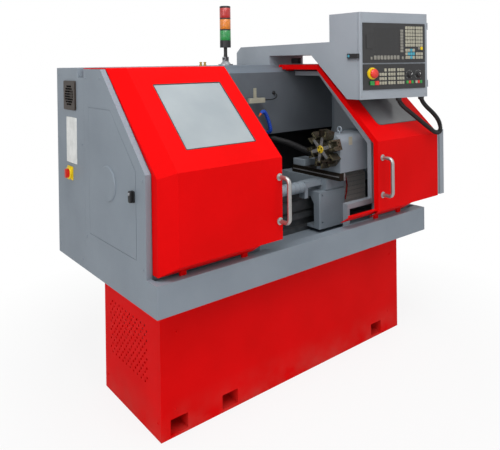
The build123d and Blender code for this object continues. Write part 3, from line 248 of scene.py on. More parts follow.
# %% Shader maths
class Socket:
    """One output of a node. Arithmetic gives a new Socket; node() adds any other node of the same tree."""

    def __init__(self, tree, output=None):
        self.tree = tree
        self.output = output

    def node(self, kind, settings=None, inputs=None, output=0):
        """Adds a node: its settings first (a ramp's stops among them), then the values or links of its inputs."""
        made = self.tree.nodes.new(kind)
        for key, value in (settings or {}).items():
            if key == "stops":
                ramp = made.color_ramp
                for n, (place, colour) in enumerate(value):
                    stop = ramp.elements[n] if n < 2 else ramp.elements.new(place)
                    stop.position = place
                    stop.color = colour
            else:
                setattr(made, key, value)
        for key, value in (inputs or {}).items():
            self.feed(made.inputs[key], value)
        return Socket(self.tree, made.outputs[output])

    def feed(self, target, value):
        """Sets a socket, or links it where the value is a Socket."""
        if isinstance(value, Socket):
            self.tree.links.new(value.output, target)
        else:
            target.default_value = value

    def maths(self, operation, first, second):
        return self.node("ShaderNodeMath", {"operation": operation}, {0: first, 1: second})

    def __add__(self, other):
        return self.maths("ADD", self, other)

    def __radd__(self, other):
        return self.maths("ADD", other, self)

    def __sub__(self, other):
        return self.maths("SUBTRACT", self, other)

    def __rsub__(self, other):
        return self.maths("SUBTRACT", other, self)

    def __mul__(self, other):
        return self.maths("MULTIPLY", self, other)

    def __rmul__(self, other):
        return self.maths("MULTIPLY", other, self)

    def __gt__(self, other):
        return self.maths("GREATER_THAN", self, other)

    def between(self, low, high):
        """0 below low, 1 above high, and a straight ramp from one to the other."""
        return self.node("ShaderNodeMapRange", {"clamp": True}, {0: self, 1: low, 2: high})

    def mix(self, first, second):
        """Two colours mixed by this factor."""
        return self.node("ShaderNodeMix", {"data_type": "RGBA"}, {0: self, 6: first, 7: second}, 2)

    def noise(self, scale, detail=2.0, stretch=(1.0, 1.0, 1.0)):
        """Cloudy noise on these coordinates, with a stretch along each axis."""
        place = self.node("ShaderNodeVectorMath", {"operation": "MULTIPLY"}, {0: self, 1: stretch})
        return self.node("ShaderNodeTexNoise", None, {"Vector": place, "Scale": scale, "Detail": detail})

    def bump(self, height):
        """A bump of this height in metres."""
        return self.node("ShaderNodeBump", None, {"Height": self, "Distance": height, "Strength": 1.0})


print("operators on a Socket: + - * >")


# %% Colours, and a material's first and last step
def colour(red, green, blue):
    """A colour as it looks on a screen, 0 to 255, turned into the linear values that a shader takes."""
    shown = np.array([red, green, blue]) / 255.0
    linear = np.where(shown <= 0.04045, shown / 12.92, ((shown + 0.055) / 1.055) ** 2.4)
    return (*(float(v) for v in linear), 1.0)


def begin(name):
    """A new material's Object coordinates."""
    material = bpy.data.materials.new(name)
    material.use_nodes = True
    here = Socket(material.node_tree)
    return material, here.node("ShaderNodeTexCoord", output="Object")


def finish(material, here, **values):
    """Feeds the main shader's sockets, named with _ for a space."""
    shader = material.node_tree.nodes["Principled BSDF"]
    for key, value in values.items():
        here.feed(shader.inputs[key.replace("_", " ")], value)
    return material


print("shader maths ready")

# %% [markdown]
# Powder coat is sprayed as dust and baked. Up close it has a fine orange peel, from afar a slight cloudiness, and
# it is duller where hands and chips rub it.

# %% Powder coats
def powder_coat(name, bright, deep, rough, peel_size=0.0024, peel_height=0.00008, level=0.35, dusty=0.0,
                painted_shade_inside=False):
    """Cloudy paint, fine orange peel, specks, dust near the floor, and optional painted shade in the work space.
    """
    material, here = begin(name)
    cloud = here.noise(3.1, 4.0)
    peel = here.noise(1.0 / peel_size, 2.0)
    speck = here.noise(900.0, 1.0).between(0.56, 0.72)
    tone = cloud.between(0.3, 0.72).mix(bright, deep)
    tone = (speck * 0.16).mix(tone, tuple(min(1.0, v * 1.7 + 0.01) for v in bright[:3]) + (1.0,))
    x, y, z = (here.node("ShaderNodeSeparateXYZ", inputs={0: here}, output=k) for k in range(3))
    low = (0.16 - z).between(0.0, 0.16) * here.noise(9.0, 4.0).between(0.35, 0.7) * dusty
    tone = low.mix(tone, colour(150, 120, 110))
    # Painted shade: the inside of the work space is made darker than the outside.
    if painted_shade_inside:
        inside = (x > -0.868) * ((0.312 - y) > 0.0) * ((1.555 - z) > 0.0)
        tone = inside.mix(tone, cloud.between(0.3, 0.7).mix(colour(104, 110, 117), colour(88, 94, 101)))
    dull = rough + 0.10 * cloud + 0.12 * low
    return finish(material, here, Base_Color=tone, Roughness=dull, Normal=peel.bump(peel_height),
                  Specular_IOR_Level=level)


RED_COAT = powder_coat("red_powder_coat", (0.78, 0.001, 0.002, 1.0), (0.68, 0.001, 0.001, 1.0), 0.46,
                       level=0.05, dusty=0.2)
GRAY_COAT = powder_coat("gray_powder_coat", colour(134, 144, 154), colour(123, 133, 143), 0.42)
# The rear cabinet's coat is darker inside the work space: painted shade.
REAR_COAT = powder_coat("gray_coat_oily_inside", colour(134, 144, 154), colour(123, 133, 143), 0.42,
                        painted_shade_inside=True)
LIGHT_COAT = powder_coat("pale_gray_coat", colour(152, 159, 167), colour(142, 149, 157), 0.40)
MACHINE_COAT = powder_coat("machine_enamel", colour(144, 154, 163), colour(127, 137, 146), 0.34, 0.006, 0.00015)
print("coats:", RED_COAT.name, GRAY_COAT.name, LIGHT_COAT.name, MACHINE_COAT.name)

# %% [markdown]
# Bare metal shows how it was worked: brushing leaves fine streaks along one direction, casting leaves a pebbled
# skin, blacking leaves a dark film with a brown sheen. Noise stretched along one axis gives the streaks.

# %% Metals
def worked_metal(name, bright, deep, rough, streaks=(1.0, 40.0, 40.0), scale=30.0, height=0.00003, metallic=1.0,
                 oily=0.0):
    material, here = begin(name)
    lines = here.noise(scale, 3.0, streaks)
    cloud = here.noise(11.0, 4.0)
    tone = lines.between(0.3, 0.7).mix(bright, deep)
    tone = (cloud.between(0.5, 0.8) * oily).mix(tone, colour(60, 46, 30))
    dull = rough + 0.16 * lines + 0.10 * cloud
    return finish(material, here, Base_Color=tone, Roughness=dull, Metallic=metallic, Normal=lines.bump(height))


STEEL = worked_metal("brushed_steel", colour(205, 205, 202), colour(168, 168, 168), 0.24, oily=0.10)
TURNED_STEEL = worked_metal("turned_steel", colour(200, 200, 198), colour(160, 160, 160), 0.22, (60.0, 1.0, 1.0))
SATIN_BAR = worked_metal("satin_bar", colour(190, 190, 188), colour(160, 160, 158), 0.22, (40.0, 40.0, 1.0), 24.0,
                         0.00001, 0.85)
BLACKED = worked_metal("blacked_steel", colour(70, 62, 52), colour(44, 41, 38), 0.30, (3.0, 3.0, 3.0), 60.0,
                       0.00008, 0.75, 0.5)
BRONZED = worked_metal("oiled_steel", colour(112, 108, 92), colour(66, 64, 54), 0.28, (4.0, 4.0, 4.0), 40.0,
                       0.00008, 0.8, 0.6)
BRASS = worked_metal("brass", colour(214, 178, 92), colour(176, 140, 66), 0.22)
# The way cover's near-white colour, with little metal, is a painted reflection of the white surroundings.
COVER_PAINTED_REFLECTION = worked_metal("cover_steel_painted_reflection", colour(238, 233, 228), colour(196, 190, 184), 0.34, (2.0, 50.0, 50.0),
                           metallic=0.15)
ZINC = worked_metal("zinc_screws", colour(190, 192, 196), colour(140, 143, 148), 0.28, (9.0, 9.0, 9.0))


def cast_iron(name):
    """Pebbled casting skin: two sizes of noise, the coarse one in patches."""
    material, here = begin(name)
    pebbles = here.noise(260.0, 3.0)
    patches = here.noise(16.0, 3.0)
    tone = patches.between(0.3, 0.7).mix(colour(84, 86, 88), colour(58, 60, 63))
    return finish(material, here, Base_Color=tone, Roughness=0.42 + 0.2 * patches, Metallic=0.35,
                  Normal=pebbles.bump(0.0003))


CAST = cast_iron("cast_iron")
print("metals:", [m.name for m in (STEEL, SATIN_BAR, BLACKED, CAST)])

# %% [markdown]
# Moulded plastics are spark-eroded: a very fine even grain that breaks up the highlight. Rubber is duller, and the
# lenses of the signal tower are clear colour over a lit core.

# %% Plastics and rubber
def moulded(name, bright, rough=0.42, grain=0.0009, height=0.00003, coat=0.0, deep=None):
    material, here = begin(name)
    grains = here.noise(1.0 / grain, 2.0)
    cloud = here.noise(24.0, 3.0)
    deep = deep or tuple(v * 0.82 for v in bright[:3]) + (1.0,)
    tone = cloud.between(0.35, 0.7).mix(bright, deep)
    return finish(material, here, Base_Color=tone, Roughness=rough + 0.12 * cloud, Normal=grains.bump(height),
                  Coat_Weight=coat)


BLACK = moulded("black_moulding", colour(26, 26, 28))
PANEL = moulded("control_film", colour(44, 44, 45), 0.36, 0.0005, 0.00001)
YELLOW = moulded("yellow_moulding", colour(240, 206, 12), 0.34)
RED = moulded("red_moulding", colour(222, 46, 32), 0.28, coat=0.3)
GREEN = moulded("green_moulding", colour(34, 150, 62), 0.30, coat=0.3)
BEIGE = moulded("beige_moulding", colour(168, 165, 148), 0.42)
CYAN = moulded("cyan_keys", colour(72, 160, 182), 0.38)
KEY_GRAY = moulded("gray_keys", colour(134, 132, 124), 0.42)
BLUE = moulded("blue_moulding", colour(22, 74, 190), 0.30)
ORANGE = moulded("orange_moulding", colour(226, 96, 30), 0.32)
FAN_BROWN = moulded("fan_moulding", colour(52, 42, 34))
WHITE = moulded("white_marks", colour(232, 234, 232), 0.5)
RUBBER = moulded("black_rubber", colour(20, 20, 22), 0.5, 0.002, 0.00006)
HUB = moulded("yellow_hub_paint", colour(226, 192, 46), 0.34, 0.002, 0.00006)
print("plastics:", BLACK.name, PANEL.name, YELLOW.name)

# %% Glass, lenses and lights
def lit_lens(name, tone, glow, strength):
    """Coloured lens: ribs come from its shape, the glow from a faint even light inside."""
    material, here = begin(name)
    swirl = here.noise(70.0, 2.0)
    shade = swirl.between(0.3, 0.7).mix(tone, tuple(v * 0.7 for v in tone[:3]) + (1.0,))
    return finish(material, here, Base_Color=shade, Roughness=0.16 + 0.08 * swirl, Coat_Weight=0.6,
                  Emission_Color=glow, Emission_Strength=strength)


LENS_RED = lit_lens("lens_red_clear", colour(176, 26, 20), colour(214, 26, 16), 0.06)
LENS_AMBER = lit_lens("lens_amber_clear", colour(214, 122, 18), colour(244, 140, 20), 0.06)
LENS_GREEN = lit_lens("lens_green_clear", colour(20, 138, 66), colour(30, 170, 60), 0.06)
LED_STRIP = lit_lens("lamp_diffuser", colour(240, 240, 232), colour(255, 250, 235), 1.4)


def window_pane(name, bright, deep):
    """Scratched polycarbonate: pale, cloudy where chips have dulled it, and partly see-through."""
    material, here = begin(name)
    haze = here.noise(4.0, 4.0)
    scratches = here.noise(60.0, 3.0, (1.0, 9.0, 9.0))
    tone = haze.between(0.3, 0.7).mix(bright, deep)
    return finish(material, here, Base_Color=tone, Roughness=0.10 + 0.12 * haze + 0.06 * scratches,
                  Alpha=0.86 + 0.08 * haze, Coat_Weight=0.2)


PANE = window_pane("polycarbonate", colour(168, 176, 180), colour(152, 161, 166))
# A darker copy of the pane for the right window: painted shadow and reflection of the control box above it.
PANE_PAINTED_SHADE = window_pane("polycarbonate_painted_shade", colour(132, 135, 137), colour(98, 100, 103))
print("lenses and panes ready")

# %% [markdown]
# Each solid takes the finish of its material slot, and a few take a finer one: the turret star is oiled bronze
# steel, the chuck shows turning marks, and the sill strip is paler than the rest of the gray.

# %% Finishes on the solids
BY_SLOT = {"red_paint": RED_COAT, "gray_paint": GRAY_COAT, "machine_gray": MACHINE_COAT, "dark_steel": BLACKED,
           "steel": STEEL, "chrome_bar": SATIN_BAR, "cast_iron": CAST, "black_plastic": BLACK, "panel_dark": PANEL,
           "yellow_plastic": YELLOW, "red_plastic": RED, "green_plastic": GREEN, "beige_plastic": BEIGE,
           "blue_plastic": BLUE, "rubber_black": RUBBER, "window_glass": PANE, "lens_red": LENS_RED,
           "lens_amber": LENS_AMBER, "lens_green": LENS_GREEN, "hub_yellow": HUB}
FINER = {"turret_head": BRONZED, "chuck_body": TURNED_STEEL, "spindle": TURNED_STEEL,
         "tailstock_guard": LIGHT_COAT, "right_door_trim": LIGHT_COAT, "tower_foot": ZINC, "control_arm": LIGHT_COAT, "control_door": LIGHT_COAT,
         "right_window": PANE_PAINTED_SHADE, "way_cover": COVER_PAINTED_REFLECTION, "fan_rotor": FAN_BROWN,
         "fan_guard": FAN_BROWN, "rear_cabinet": REAR_COAT, "end_cover_latch": BLACK}
node_slots = {row["node"]: row["material_slot"] for row in frame["record"]["subparts"]}
for node, solid in frame["nodes"].items():
    wanted = FINER.get(node, BY_SLOT[node_slots[node]])
    if not solid.material_slots:
        solid.data.materials.append(wanted)
    for place in solid.material_slots:
        place.material = wanted
print("finished solids:", len(node_slots))


# %% A helper that sets a piece on its body
def fit(piece, body, slot, coat, *nodes):
    """Rides the piece on a body, gives its finish, and stands it for the named solids. Its slot is not used."""
    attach(piece, body)
    piece.data.materials.clear()
    piece.data.materials.append(coat)
    if nodes:
        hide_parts(*nodes)
    return piece


fit(conduit, "frame", "rubber_black", RUBBER)
fit(lead, "frame", "rubber_black", RUBBER)
fit(glands, "frame", "black_plastic", BLACK)
print("cords finished")

# %% [markdown]
# The coolant hose is a chain of ball joints with an orange nozzle, and the cable hose by the turret is ribbed.
# Both are rings along a route, whose radius swells and narrows with distance.

# %% Coolant hose and cable hose
hose_line = route_line(HOSE_ROUTE, 0.0016)
beads = 0.0086 + 0.0036 * np.abs(np.sin(np.arange(len(hose_line)) * 0.0016 / 0.0135 * np.pi)) ** 0.6
body_part = hose_line[:-14]
beaded = surface("coolant_beads", tube(body_part, beads[:-14], 18, (0.0, 1.0, 0.0)))
fit(beaded, "frame", "blue_plastic", BLUE, "coolant_hose")
nozzle_line = hose_line[-15:]
nozzle_radii = np.linspace(0.0085, 0.0042, 15)
nozzle = surface("coolant_nozzle", tube(nozzle_line, nozzle_radii, 18, (0.0, 1.0, 0.0)))
fit(nozzle, "frame", "blue_plastic", ORANGE)
chain_line = route_line(CHAIN_ROUTE, 0.002)
chain_radii = np.where(np.arange(len(chain_line)) % 4 < 2, 0.019, 0.0165)
chain = surface("cable_hose_ribs", tube(chain_line, chain_radii, 20), sharp=30)
fit(chain, "cross_slide", "rubber_black", RUBBER, "cable_hose")
print("hose rings:", len(hose_line), len(chain_line))

# %% [markdown]
# The bow handles are bent from round bar, with a flange where each foot meets the door.

# %% Bow handles
def bow(x, low, high, out, front, corner, radius):
    """The bar's path: straight out, a quarter circle, straight up, a quarter circle and straight back."""
    a = np.linspace(0, np.pi / 2, 9)
    lower = np.column_stack([front - out + corner * (1 - np.sin(a)), low + corner * (1 - np.cos(a))])
    upper = np.column_stack([front - out + corner * (1 - np.cos(a)), high - corner * (1 - np.sin(a))])
    side = np.concatenate([[[front, low]], lower, upper, [[front, high]]])
    path = np.column_stack([np.full(len(side), x), side])
    return surface("bar", tube(path, radius, 20, (1.0, 0.0, 0.0)))


HANDLES = {"left_door": ("left_bow_handle", -0.271, "left_handle"),
           "right_door": ("right_bow_handle", 0.476, "right_handle")}
foot_profile = [(0, 0), (0, 0.017), (0.003, 0.017), (0.0045, 0.0145), (0.0045, 0)]
for body, (name, x, node) in HANDLES.items():
    bar = bow(x, 0.869, 1.071, 0.066, -0.433, 0.024, 0.010)
    bar.name = name
    fit(bar, body, "chrome_bar", SATIN_BAR, node)
    feet = [turned(foot_profile, (x, -0.433, z), (0, -1, 0), 24) for z in (0.869, 1.071)]
    fit(surface(name + "_feet", feet), body, "chrome_bar", SATIN_BAR)
print("handles:", len(HANDLES))

# %% [markdown]
# Everything on the control face is placed by its distance along the face, its height and how far it stands out.
# The face is turned 12 degrees, so one function takes such a place to the machine's own axes.

# %% The control face
FACE_TURN = math.radians(12.0)
FACE_CORNER = np.array([0.391, -0.339, 0.0])
ALONG = np.array([math.cos(FACE_TURN), -math.sin(FACE_TURN), 0.0])
INTO = np.array([math.sin(FACE_TURN), math.cos(FACE_TURN), 0.0])
UP = np.array([0.0, 0.0, 1.0])


def on_face(points):
    """Points given as (along, into, up) in millimetres, in the machine's axes and metres."""
    points = np.asarray(points, dtype=float) / 1000.0
    return FACE_CORNER + points[..., :1] * ALONG + points[..., 1:2] * INTO + points[..., 2:] * UP


def key_caps(name, places, size, coat, slot="beige_plastic", front=-25.9, body="control_door"):
    """Round-edged keys, one for each (along, height), sized (width, height), standing 3.4 mm proud."""
    cap = rounded_block((size[0], 3.4, size[1]), 0.24, 9, 16)
    centres = np.array([(s, front + 1.7, z) for s, z in places])
    return fit(surface(name, on_face(cap[None] + centres[:, None, None, :])), body, slot, coat)


ROWS = [1779 - 19.6 * n for n in range(6)]
beige_places = [(327 + 18.2 * n, z) for z in ROWS for n in range(4)]
beige_places += [(404 + 18.2 * n, z) for z in ROWS for n in range(3)]
cursor = [(327 + 17.6 * n, 1652 - 20.4 * row) for row in range(3) for n in range(4)]
arrows = [cursor[k] for k in (2, 5, 6, 7, 10)]
beige_places += [place for place in cursor if place not in arrows]
beige_places += [(404 + 18.2 * n, 1652 - 20.4 * row) for row in (1, 2) for n in range(3)]
soft_keys = [(102 + 23.3 * n, 1612) for n in range(8)]
side_keys = [(292.5, 1647 + 16.4 * n) for n in range(8)]
key_caps("data_keys", beige_places, (15.8, 16.8), BEIGE)
key_caps("arrow_keys", arrows, (15.8, 16.8), CYAN)
key_caps("soft_keys", soft_keys, (17.8, 22.8), KEY_GRAY)
key_caps("side_keys", side_keys, (20.8, 13.8), KEY_GRAY)
key_caps("page_keys", [(76.5, 1609), (298.5, 1609)], (11.8, 15.8), KEY_GRAY)
key_caps("reset_key", [(420.5, 1663)], (13.8, 14.8), KEY_GRAY)
key_caps("cycle_key", [(440.0, 1663)], (15.8, 17.8), YELLOW, "yellow_plastic")
print("keys on the display unit:", len(beige_places) + len(arrows) + 19)

# %% Keys of the lower panel
group_rows = (1471, 1495, 1519, 1543)
lower_places = [(s + 18.2 * n, z) for s in (137, 200, 264.5) for z in group_rows for n in range(3)]
lower_places = [p for p in lower_places if not (p[0] < 160 and p[1] == 1543)]
key_caps("mode_keys", lower_places, (14.8, 16.8), BEIGE)
lamps = {"green": [332, 368, 434], "red": [350, 416]}
key_caps("green_keys", [(s, 1472) for s in lamps["green"]], (14.8, 16.8), GREEN, "green_plastic")
key_caps("red_keys", [(s, 1472) for s in lamps["red"]], (14.8, 16.8), RED, "red_plastic")
key_caps("spare_key", [(399, 1472)], (14.8, 16.8), BEIGE)
print("keys on the lower panel:", len(lower_places) + 6)


# %% [markdown]
# The screen is dark glass with a faint picture of plain bars: no text is legible on the real one at this size. The
# picture is a pattern of the material, so it stays on the glass.

# %% Screen
def screen_glass(name):
    material, here = begin(name)
    height = here.node("ShaderNodeSeparateXYZ", inputs={0: here}, output=2)
    bars = here.node("ShaderNodeMath", {"operation": "FRACT"}, {0: height * 62.0}).between(0.62, 0.72)
    words = here.noise(55.0, 1.0, (1.0, 1.0, 0.05)).between(0.52, 0.56)
    lit = bars * words * (height > 1.655) * (1.0 - (height > 1.76))
    tone = lit.mix(colour(20, 20, 21), colour(28, 29, 31))
    smear = here.noise(16.0, 3.0)
    return finish(material, here, Base_Color=tone, Roughness=0.10 + 0.12 * smear, Coat_Weight=0.5,
                  Emission_Color=tone, Emission_Strength=0.1)


SCREEN = screen_glass("screen_glass")
pane = rounded_block((181, 1.2, 147), 0.08, 11, 28) + np.array([184.5, -22.3, 1702])
fit(surface("screen_pane", on_face(pane)), "control_door", "panel_dark", SCREEN)
flap = rounded_block((41, 2.4, 74), 0.10, 9, 20) + np.array([62, -25.2, 1698.5])
fit(surface("card_flap", on_face(flap)), "control_door", "panel_dark", PANEL)
print("screen and card flap ready")

# %% [markdown]
# The emergency stop is a red mushroom in a yellow collar. Both dials have a fluted grip, a white pointer and a
# scale of plain marks.

# %% Emergency stop, buttons and dials
def on_face_turned(profile, along, up, sides=36, flutes=0, depth=0.0):
    """A profile of (distance out of the panel, radius) in millimetres, turned about a line square to the face."""
    origin = on_face([along, 0.0, up])
    return turned(np.asarray(profile) / 1000.0, origin, -INTO, sides, flutes, depth)


def swing(angle):
    """The matrix that turns (along, into, up) by an angle in the plane of the face."""
    return np.array([[math.cos(angle), 0, math.sin(angle)], [0, 1, 0], [-math.sin(angle), 0, math.cos(angle)]])


ring = [(22.9, 9.3), (30.3, 9.3), (30.9, 12), (30.9, 30), (29.6, 33.2), (22.9, 33.4), (22.9, 9.3)]
fit(surface("stop_collar", on_face_turned(ring, 81, 1525)), "control_door", "yellow_plastic", YELLOW)
mushroom = [(-10, 0), (-10, 8.6), (36.6, 8.6), (36.8, 15), (38, 23), (39.5, 25.4), (44, 26.2), (49, 24),
            (53, 17.5), (54.8, 8), (55, 0)]
stop = surface("stop_mushroom", on_face_turned(mushroom, 81, 1525))
fit(stop, "emergency_stop", "red_plastic", RED, "estop_button")
DIALS = {"feed_knob": 346.4, "speed_knob": 413.5}
for body, s in DIALS.items():
    grip = [(-12, 0), (-12, 4.9), (23.2, 4.9), (23.2, 18.6), (26, 19), (28, 16.4), (40, 14.6), (42, 12.6),
            (42, 0)]
    fit(surface(body + "_grip", on_face_turned(grip, s, 1514, 72, 12, 0.05)), body, "black_plastic", BLACK, body)
    bar = rounded_block((2.4, 1.0, 12), 0.2, 7, 12) + np.array([0, -42.2, 6.5])
    pointer = bar @ swing(math.radians(35 if body == "feed_knob" else -20)).T + np.array([s, 0, 1514])
    fit(surface(body + "_pointer", on_face(pointer)), body, "beige_plastic", WHITE)
tick = rounded_block((0.9, 0.5, 4.0), 0.2, 5, 8) + np.array([0, -23.2, 24.5])
angles = np.radians(np.linspace(-140, 140, 15))
marks = np.einsum("ruc,kdc->krud", tick, np.array([swing(a) for a in angles]))
scales = np.concatenate([marks + np.array([s, 0, 1514]) for s in DIALS.values()])
fit(surface("dial_scales", on_face(scales)), "control_door", "beige_plastic", WHITE)
print("dial marks:", len(scales))

# %% [markdown]
# The lenses of the signal tower are fluted, which spreads the light: the radius varies with the angle.

# %% Signal tower lenses
TOWER = (0.096, 0.470)
for node, coat in (("lens_red", LENS_RED), ("lens_amber", LENS_AMBER), ("lens_green", LENS_GREEN)):
    low, high = (float(c[2]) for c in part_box(node))
    tall = high - low
    outline = [(0, 0), (0, 0.0325), (0.003, 0.0338), (tall - 0.003, 0.0338), (tall, 0.0325), (tall, 0)]
    lens = surface(node + "_fluted", turned(outline, (*TOWER, low), (0, 0, 1), 96, 24, 0.018), sharp=50)
    fit(lens, "signal_tower", node, coat, node)
print("lens height:", round(tall, 4))

# %% [markdown]
# The turret is a six-armed star of oiled steel. A pale spider lies on its face, and each arm ends in a holder with
# clamp cheeks and black socket screws. One cheek or screw is worked out once and turned to its place by an array.

# %% Turret star
HUB_CENTRE = np.array([0.268, -0.173, 1.108])
STATIONS = np.radians(12.0 + 60.0 * np.arange(6))


def at_stations(shape):
    """Copies of a shape in millimetres, given as (along X, sideways, outwards), turned about the hub by each
    station's angle t: y = sideways * cos t - outwards * sin t, z = sideways * sin t + outwards * cos t."""
    x, side, out = (shape[..., k] / 1000.0 for k in range(3))
    turned_to = [np.stack([x, side * math.cos(t) - out * math.sin(t), side * math.sin(t) + out * math.cos(t)], -1)
                 for t in STATIONS]
    return np.stack(turned_to) + HUB_CENTRE


PALE_STEEL = worked_metal("pale_ground_steel", colour(176, 174, 176), colour(138, 137, 138), 0.34, (3.0, 3.0, 3.0),
                          metallic=0.55)
OLIVE = worked_metal("bronzed_clamps", colour(150, 142, 112), colour(98, 92, 70), 0.32, (4.0, 4.0, 4.0), 40.0,
                     0.00008, 0.6, 0.5)
arm_plate = rounded_block((2.2, 15, 62), 0.25, 9, 16)
arm_plate[..., 1] *= 1.25 - 0.25 * arm_plate[..., 2] / 31.0
arms = at_stations(arm_plate + np.array([-0.6, 0.0, 47.0]))
fit(surface("turret_spider", arms), "turret", "dark_steel", PALE_STEEL)
cheek = rounded_block((3.0, 9, 40), 0.2, 9, 16)
cheeks = np.concatenate([at_stations(cheek + np.array([-0.8, s, 84.0])) for s in (-17.5, 25.5)])
wedges = at_stations(rounded_block((6.0, 26, 7), 0.3, 9, 16) + np.array([-1.5, 4.0, 72.0]))
fit(surface("turret_cheeks", np.concatenate([cheeks, wedges])), "turret", "dark_steel", OLIVE)
screw = turned([(0, 0), (0, 0.0034), (0.002, 0.0034), (0.002, 0.0019), (0.0006, 0.0017), (0.0006, 0)],
               (0.0, 0.0, 0.0), (-1, 0, 0), 12) * 1000.0
places = [(-2.2, s, r) for s in (-17.5, 25.5) for r in (72.0, 94.0)]
heads = np.concatenate([at_stations(screw + np.array(p)) for p in places])
fit(surface("turret_screws", heads), "turret", "dark_steel", BLACK)
hub_screws = [turned([(0, 0), (0, 0.0042), (0.0012, 0.0042), (0.0016, 0.003), (0.0016, 0)],
                     HUB_CENTRE + np.array([-0.0052, 0.013 * math.cos(t), 0.013 * math.sin(t)]), (-1, 0, 0), 16)
              for t in np.radians([35, 155, 275])]
fit(surface("hub_screws", hub_screws), "turret", "dark_steel", BLACK)
print("turret copies:", len(arms), len(cheeks), len(heads))

# %% [markdown]
# The cross slide has a narrow nose in front and its full width further back, so the steel way cover shows beside
# it. It is a slab: an outline joined to itself at two heights and closed to a point inside it.

# %% Cross slide, way cover lip and housing plate
def slab(outline, low, high, centre):
    """An upright slab: its plan outline at two heights, closed top and bottom towards a centre point."""
    ring = np.asarray(outline, dtype=float)
    middle = np.broadcast_to(np.asarray(centre, dtype=float), ring.shape)
    levels = [(middle, low), (ring, low), (ring, high), (middle, high)]
    return np.stack([np.column_stack([r, np.full(len(r), z)]) for r, z in levels])


plan = np.array([(326, -262), (366, -262), (366, -128), (478, -128), (478, 60), (478, 120), (326, 120),
                 (326, -60)])
slide_plate = surface("slide_plate", slab(plan / 1000.0, 0.9351, 0.979, (0.345, 0.0)), sharp=25)
fit(slide_plate, "cross_slide", "dark_steel", BLACKED, "cross_slide")
end_block = block_at((106, 98, 39), (383, 69, 997.5), 0.12, 9, 24)
wiper = block_at((4, 372, 5), (324.6, -71, 957), 0.2, 7, 12)
nose_cap = block_at((9, 5, 42), (361, -263, 957), 0.2, 9, 16)
fit(surface("slide_end_block", end_block), "cross_slide", "dark_steel", MACHINE_COAT)
fit(surface("slide_wiper", wiper), "cross_slide", "dark_steel", PALE_STEEL)
fit(surface("slide_nose_cap", nose_cap), "cross_slide", "dark_steel", PALE_STEEL)
RED_RUBBER = moulded("red_wiper_rubber", colour(190, 26, 22), 0.5)
lip_line = np.array([(0.4740, -0.1318, 0.9330), (0.5000, -0.1318, 0.9300), (0.5200, -0.1318, 0.9060),
                     (0.5300, -0.1318, 0.8664), (0.5250, -0.1318, 0.8240), (0.5103, -0.1318, 0.7812)])
lip = surface("cover_lip", tube(lip_line, 0.0042, 12, (0.0, 1.0, 0.0)))
fit(lip, "saddle", "red_plastic", RED_RUBBER)
folds = [block_at((213, 1.6, 2.2), (592, -129.2, z), 0.3, 5, 12) for z in np.linspace(775, 905, 6)]
fit(surface("cover_folds", folds), "saddle", "steel", STEEL)
small_plate = block_at((30, 1.2, 46), (415, -262.4, 1150), 0.12, 7, 16)
fit(surface("housing_plate", small_plate), "cross_slide", "machine_gray", BEIGE)
print("slide corners:", len(plan))

# %% [markdown]
# Behind the right door a pale folded strip follows the edge of the guard: up, along the slope and back under the
# roof. It is a profile carried along a bent line, with mitred corners so its width stays the same.

# %% Edge strip of the guard
def mitres(path):
    """How far each point of a bent line moves for a step of one square to the line. At a corner it is the mean of
    the two sides' normals, made longer so that the width stays the same."""
    run = unit(np.diff(path, axis=0))
    normals = np.column_stack([run[:, 1], -run[:, 0]])
    mean = np.concatenate([normals[:1], normals[:-1] + normals[1:], normals[-1:]])
    first = np.concatenate([normals[:1], normals])
    return mean / np.sum(mean * first, axis=1, keepdims=True)


def bent_strip(path, across, inward, x_far, x_edge, thick):
    """An L-shaped strip along a path in Y and Z. The flange lies on the path between x_far and x_edge, and a lip
    turns inward at x_edge."""
    path = np.asarray(path, dtype=float)
    mitre = mitres(path)
    section = [(x_far, 0.0), (x_far, -thick), (x_edge, -thick), (x_edge, inward), (x_edge + across, inward),
               (x_edge + across, 0.0)]
    rings = [np.column_stack([np.full(len(path), x), path + mitre * d]) for x, d in section]
    rings = np.stack(rings, axis=1)
    ends = [np.broadcast_to(rings[k].mean(axis=0), rings[k].shape)[None] for k in (0, -1)]
    return np.concatenate([ends[0], rings, ends[1]])


guard_line = [(-0.3202, 0.800), (-0.3202, 1.1399), (0.0648, 1.5322), (0.290, 1.5322)]
strip = surface("guard_edge_strip", bent_strip(guard_line, 0.0016, 0.026, 0.551, 0.520, 0.0014), sharp=25)
fit(strip, "frame", "gray_paint", LIGHT_COAT)
LOW_DOME = [(0, 0), (0, 0.005), (0.0016, 0.004), (0.0022, 0.0016), (0.0022, 0)]
strip_screws = [turned(LOW_DOME, (0.536, y, z), n, 12)
                for y, z, n in ((-0.3218, 0.90, (0, -1, 0)), (-0.3218, 1.06, (0, -1, 0)),
                                (-0.245, 1.2182, (0, -0.714, 0.70)), (-0.115, 1.3507, (0, -0.714, 0.70)),
                                (0.0, 1.4678, (0, -0.714, 0.70)))]
fit(surface("strip_screws", strip_screws), "frame", "gray_paint", ZINC)
print("strip corners:", len(guard_line))

# %% [markdown]
# Below the back wall the machine is open to a recess for chips, lined with a near-black sheet that is painted
# shade, and its right end is closed by a gray plate. Both are thin sheets drawn out along X.

# %% Recess lining and right end plate
# Near-black coat for the recess: painted shade of its dark inside.
RECESS_PAINTED_SHADE = powder_coat("recess_painted_shade_coat", colour(34, 35, 37), colour(24, 25, 27), 0.6)


def sheet_between(path, x0, x1, thick):
    """A bent sheet along X: the path at its face and again a thickness further, both at two ends."""
    path = np.asarray(path, dtype=float)
    loop = np.concatenate([path, (path + mitres(path) * thick)[::-1]])
    rings = [np.column_stack([np.full(len(loop), x), loop]) for x in (x0, x1)]
    ends = [np.broadcast_to(r.mean(axis=0), r.shape) for r in rings]
    return np.stack([ends[0], rings[0], rings[1], ends[1]])


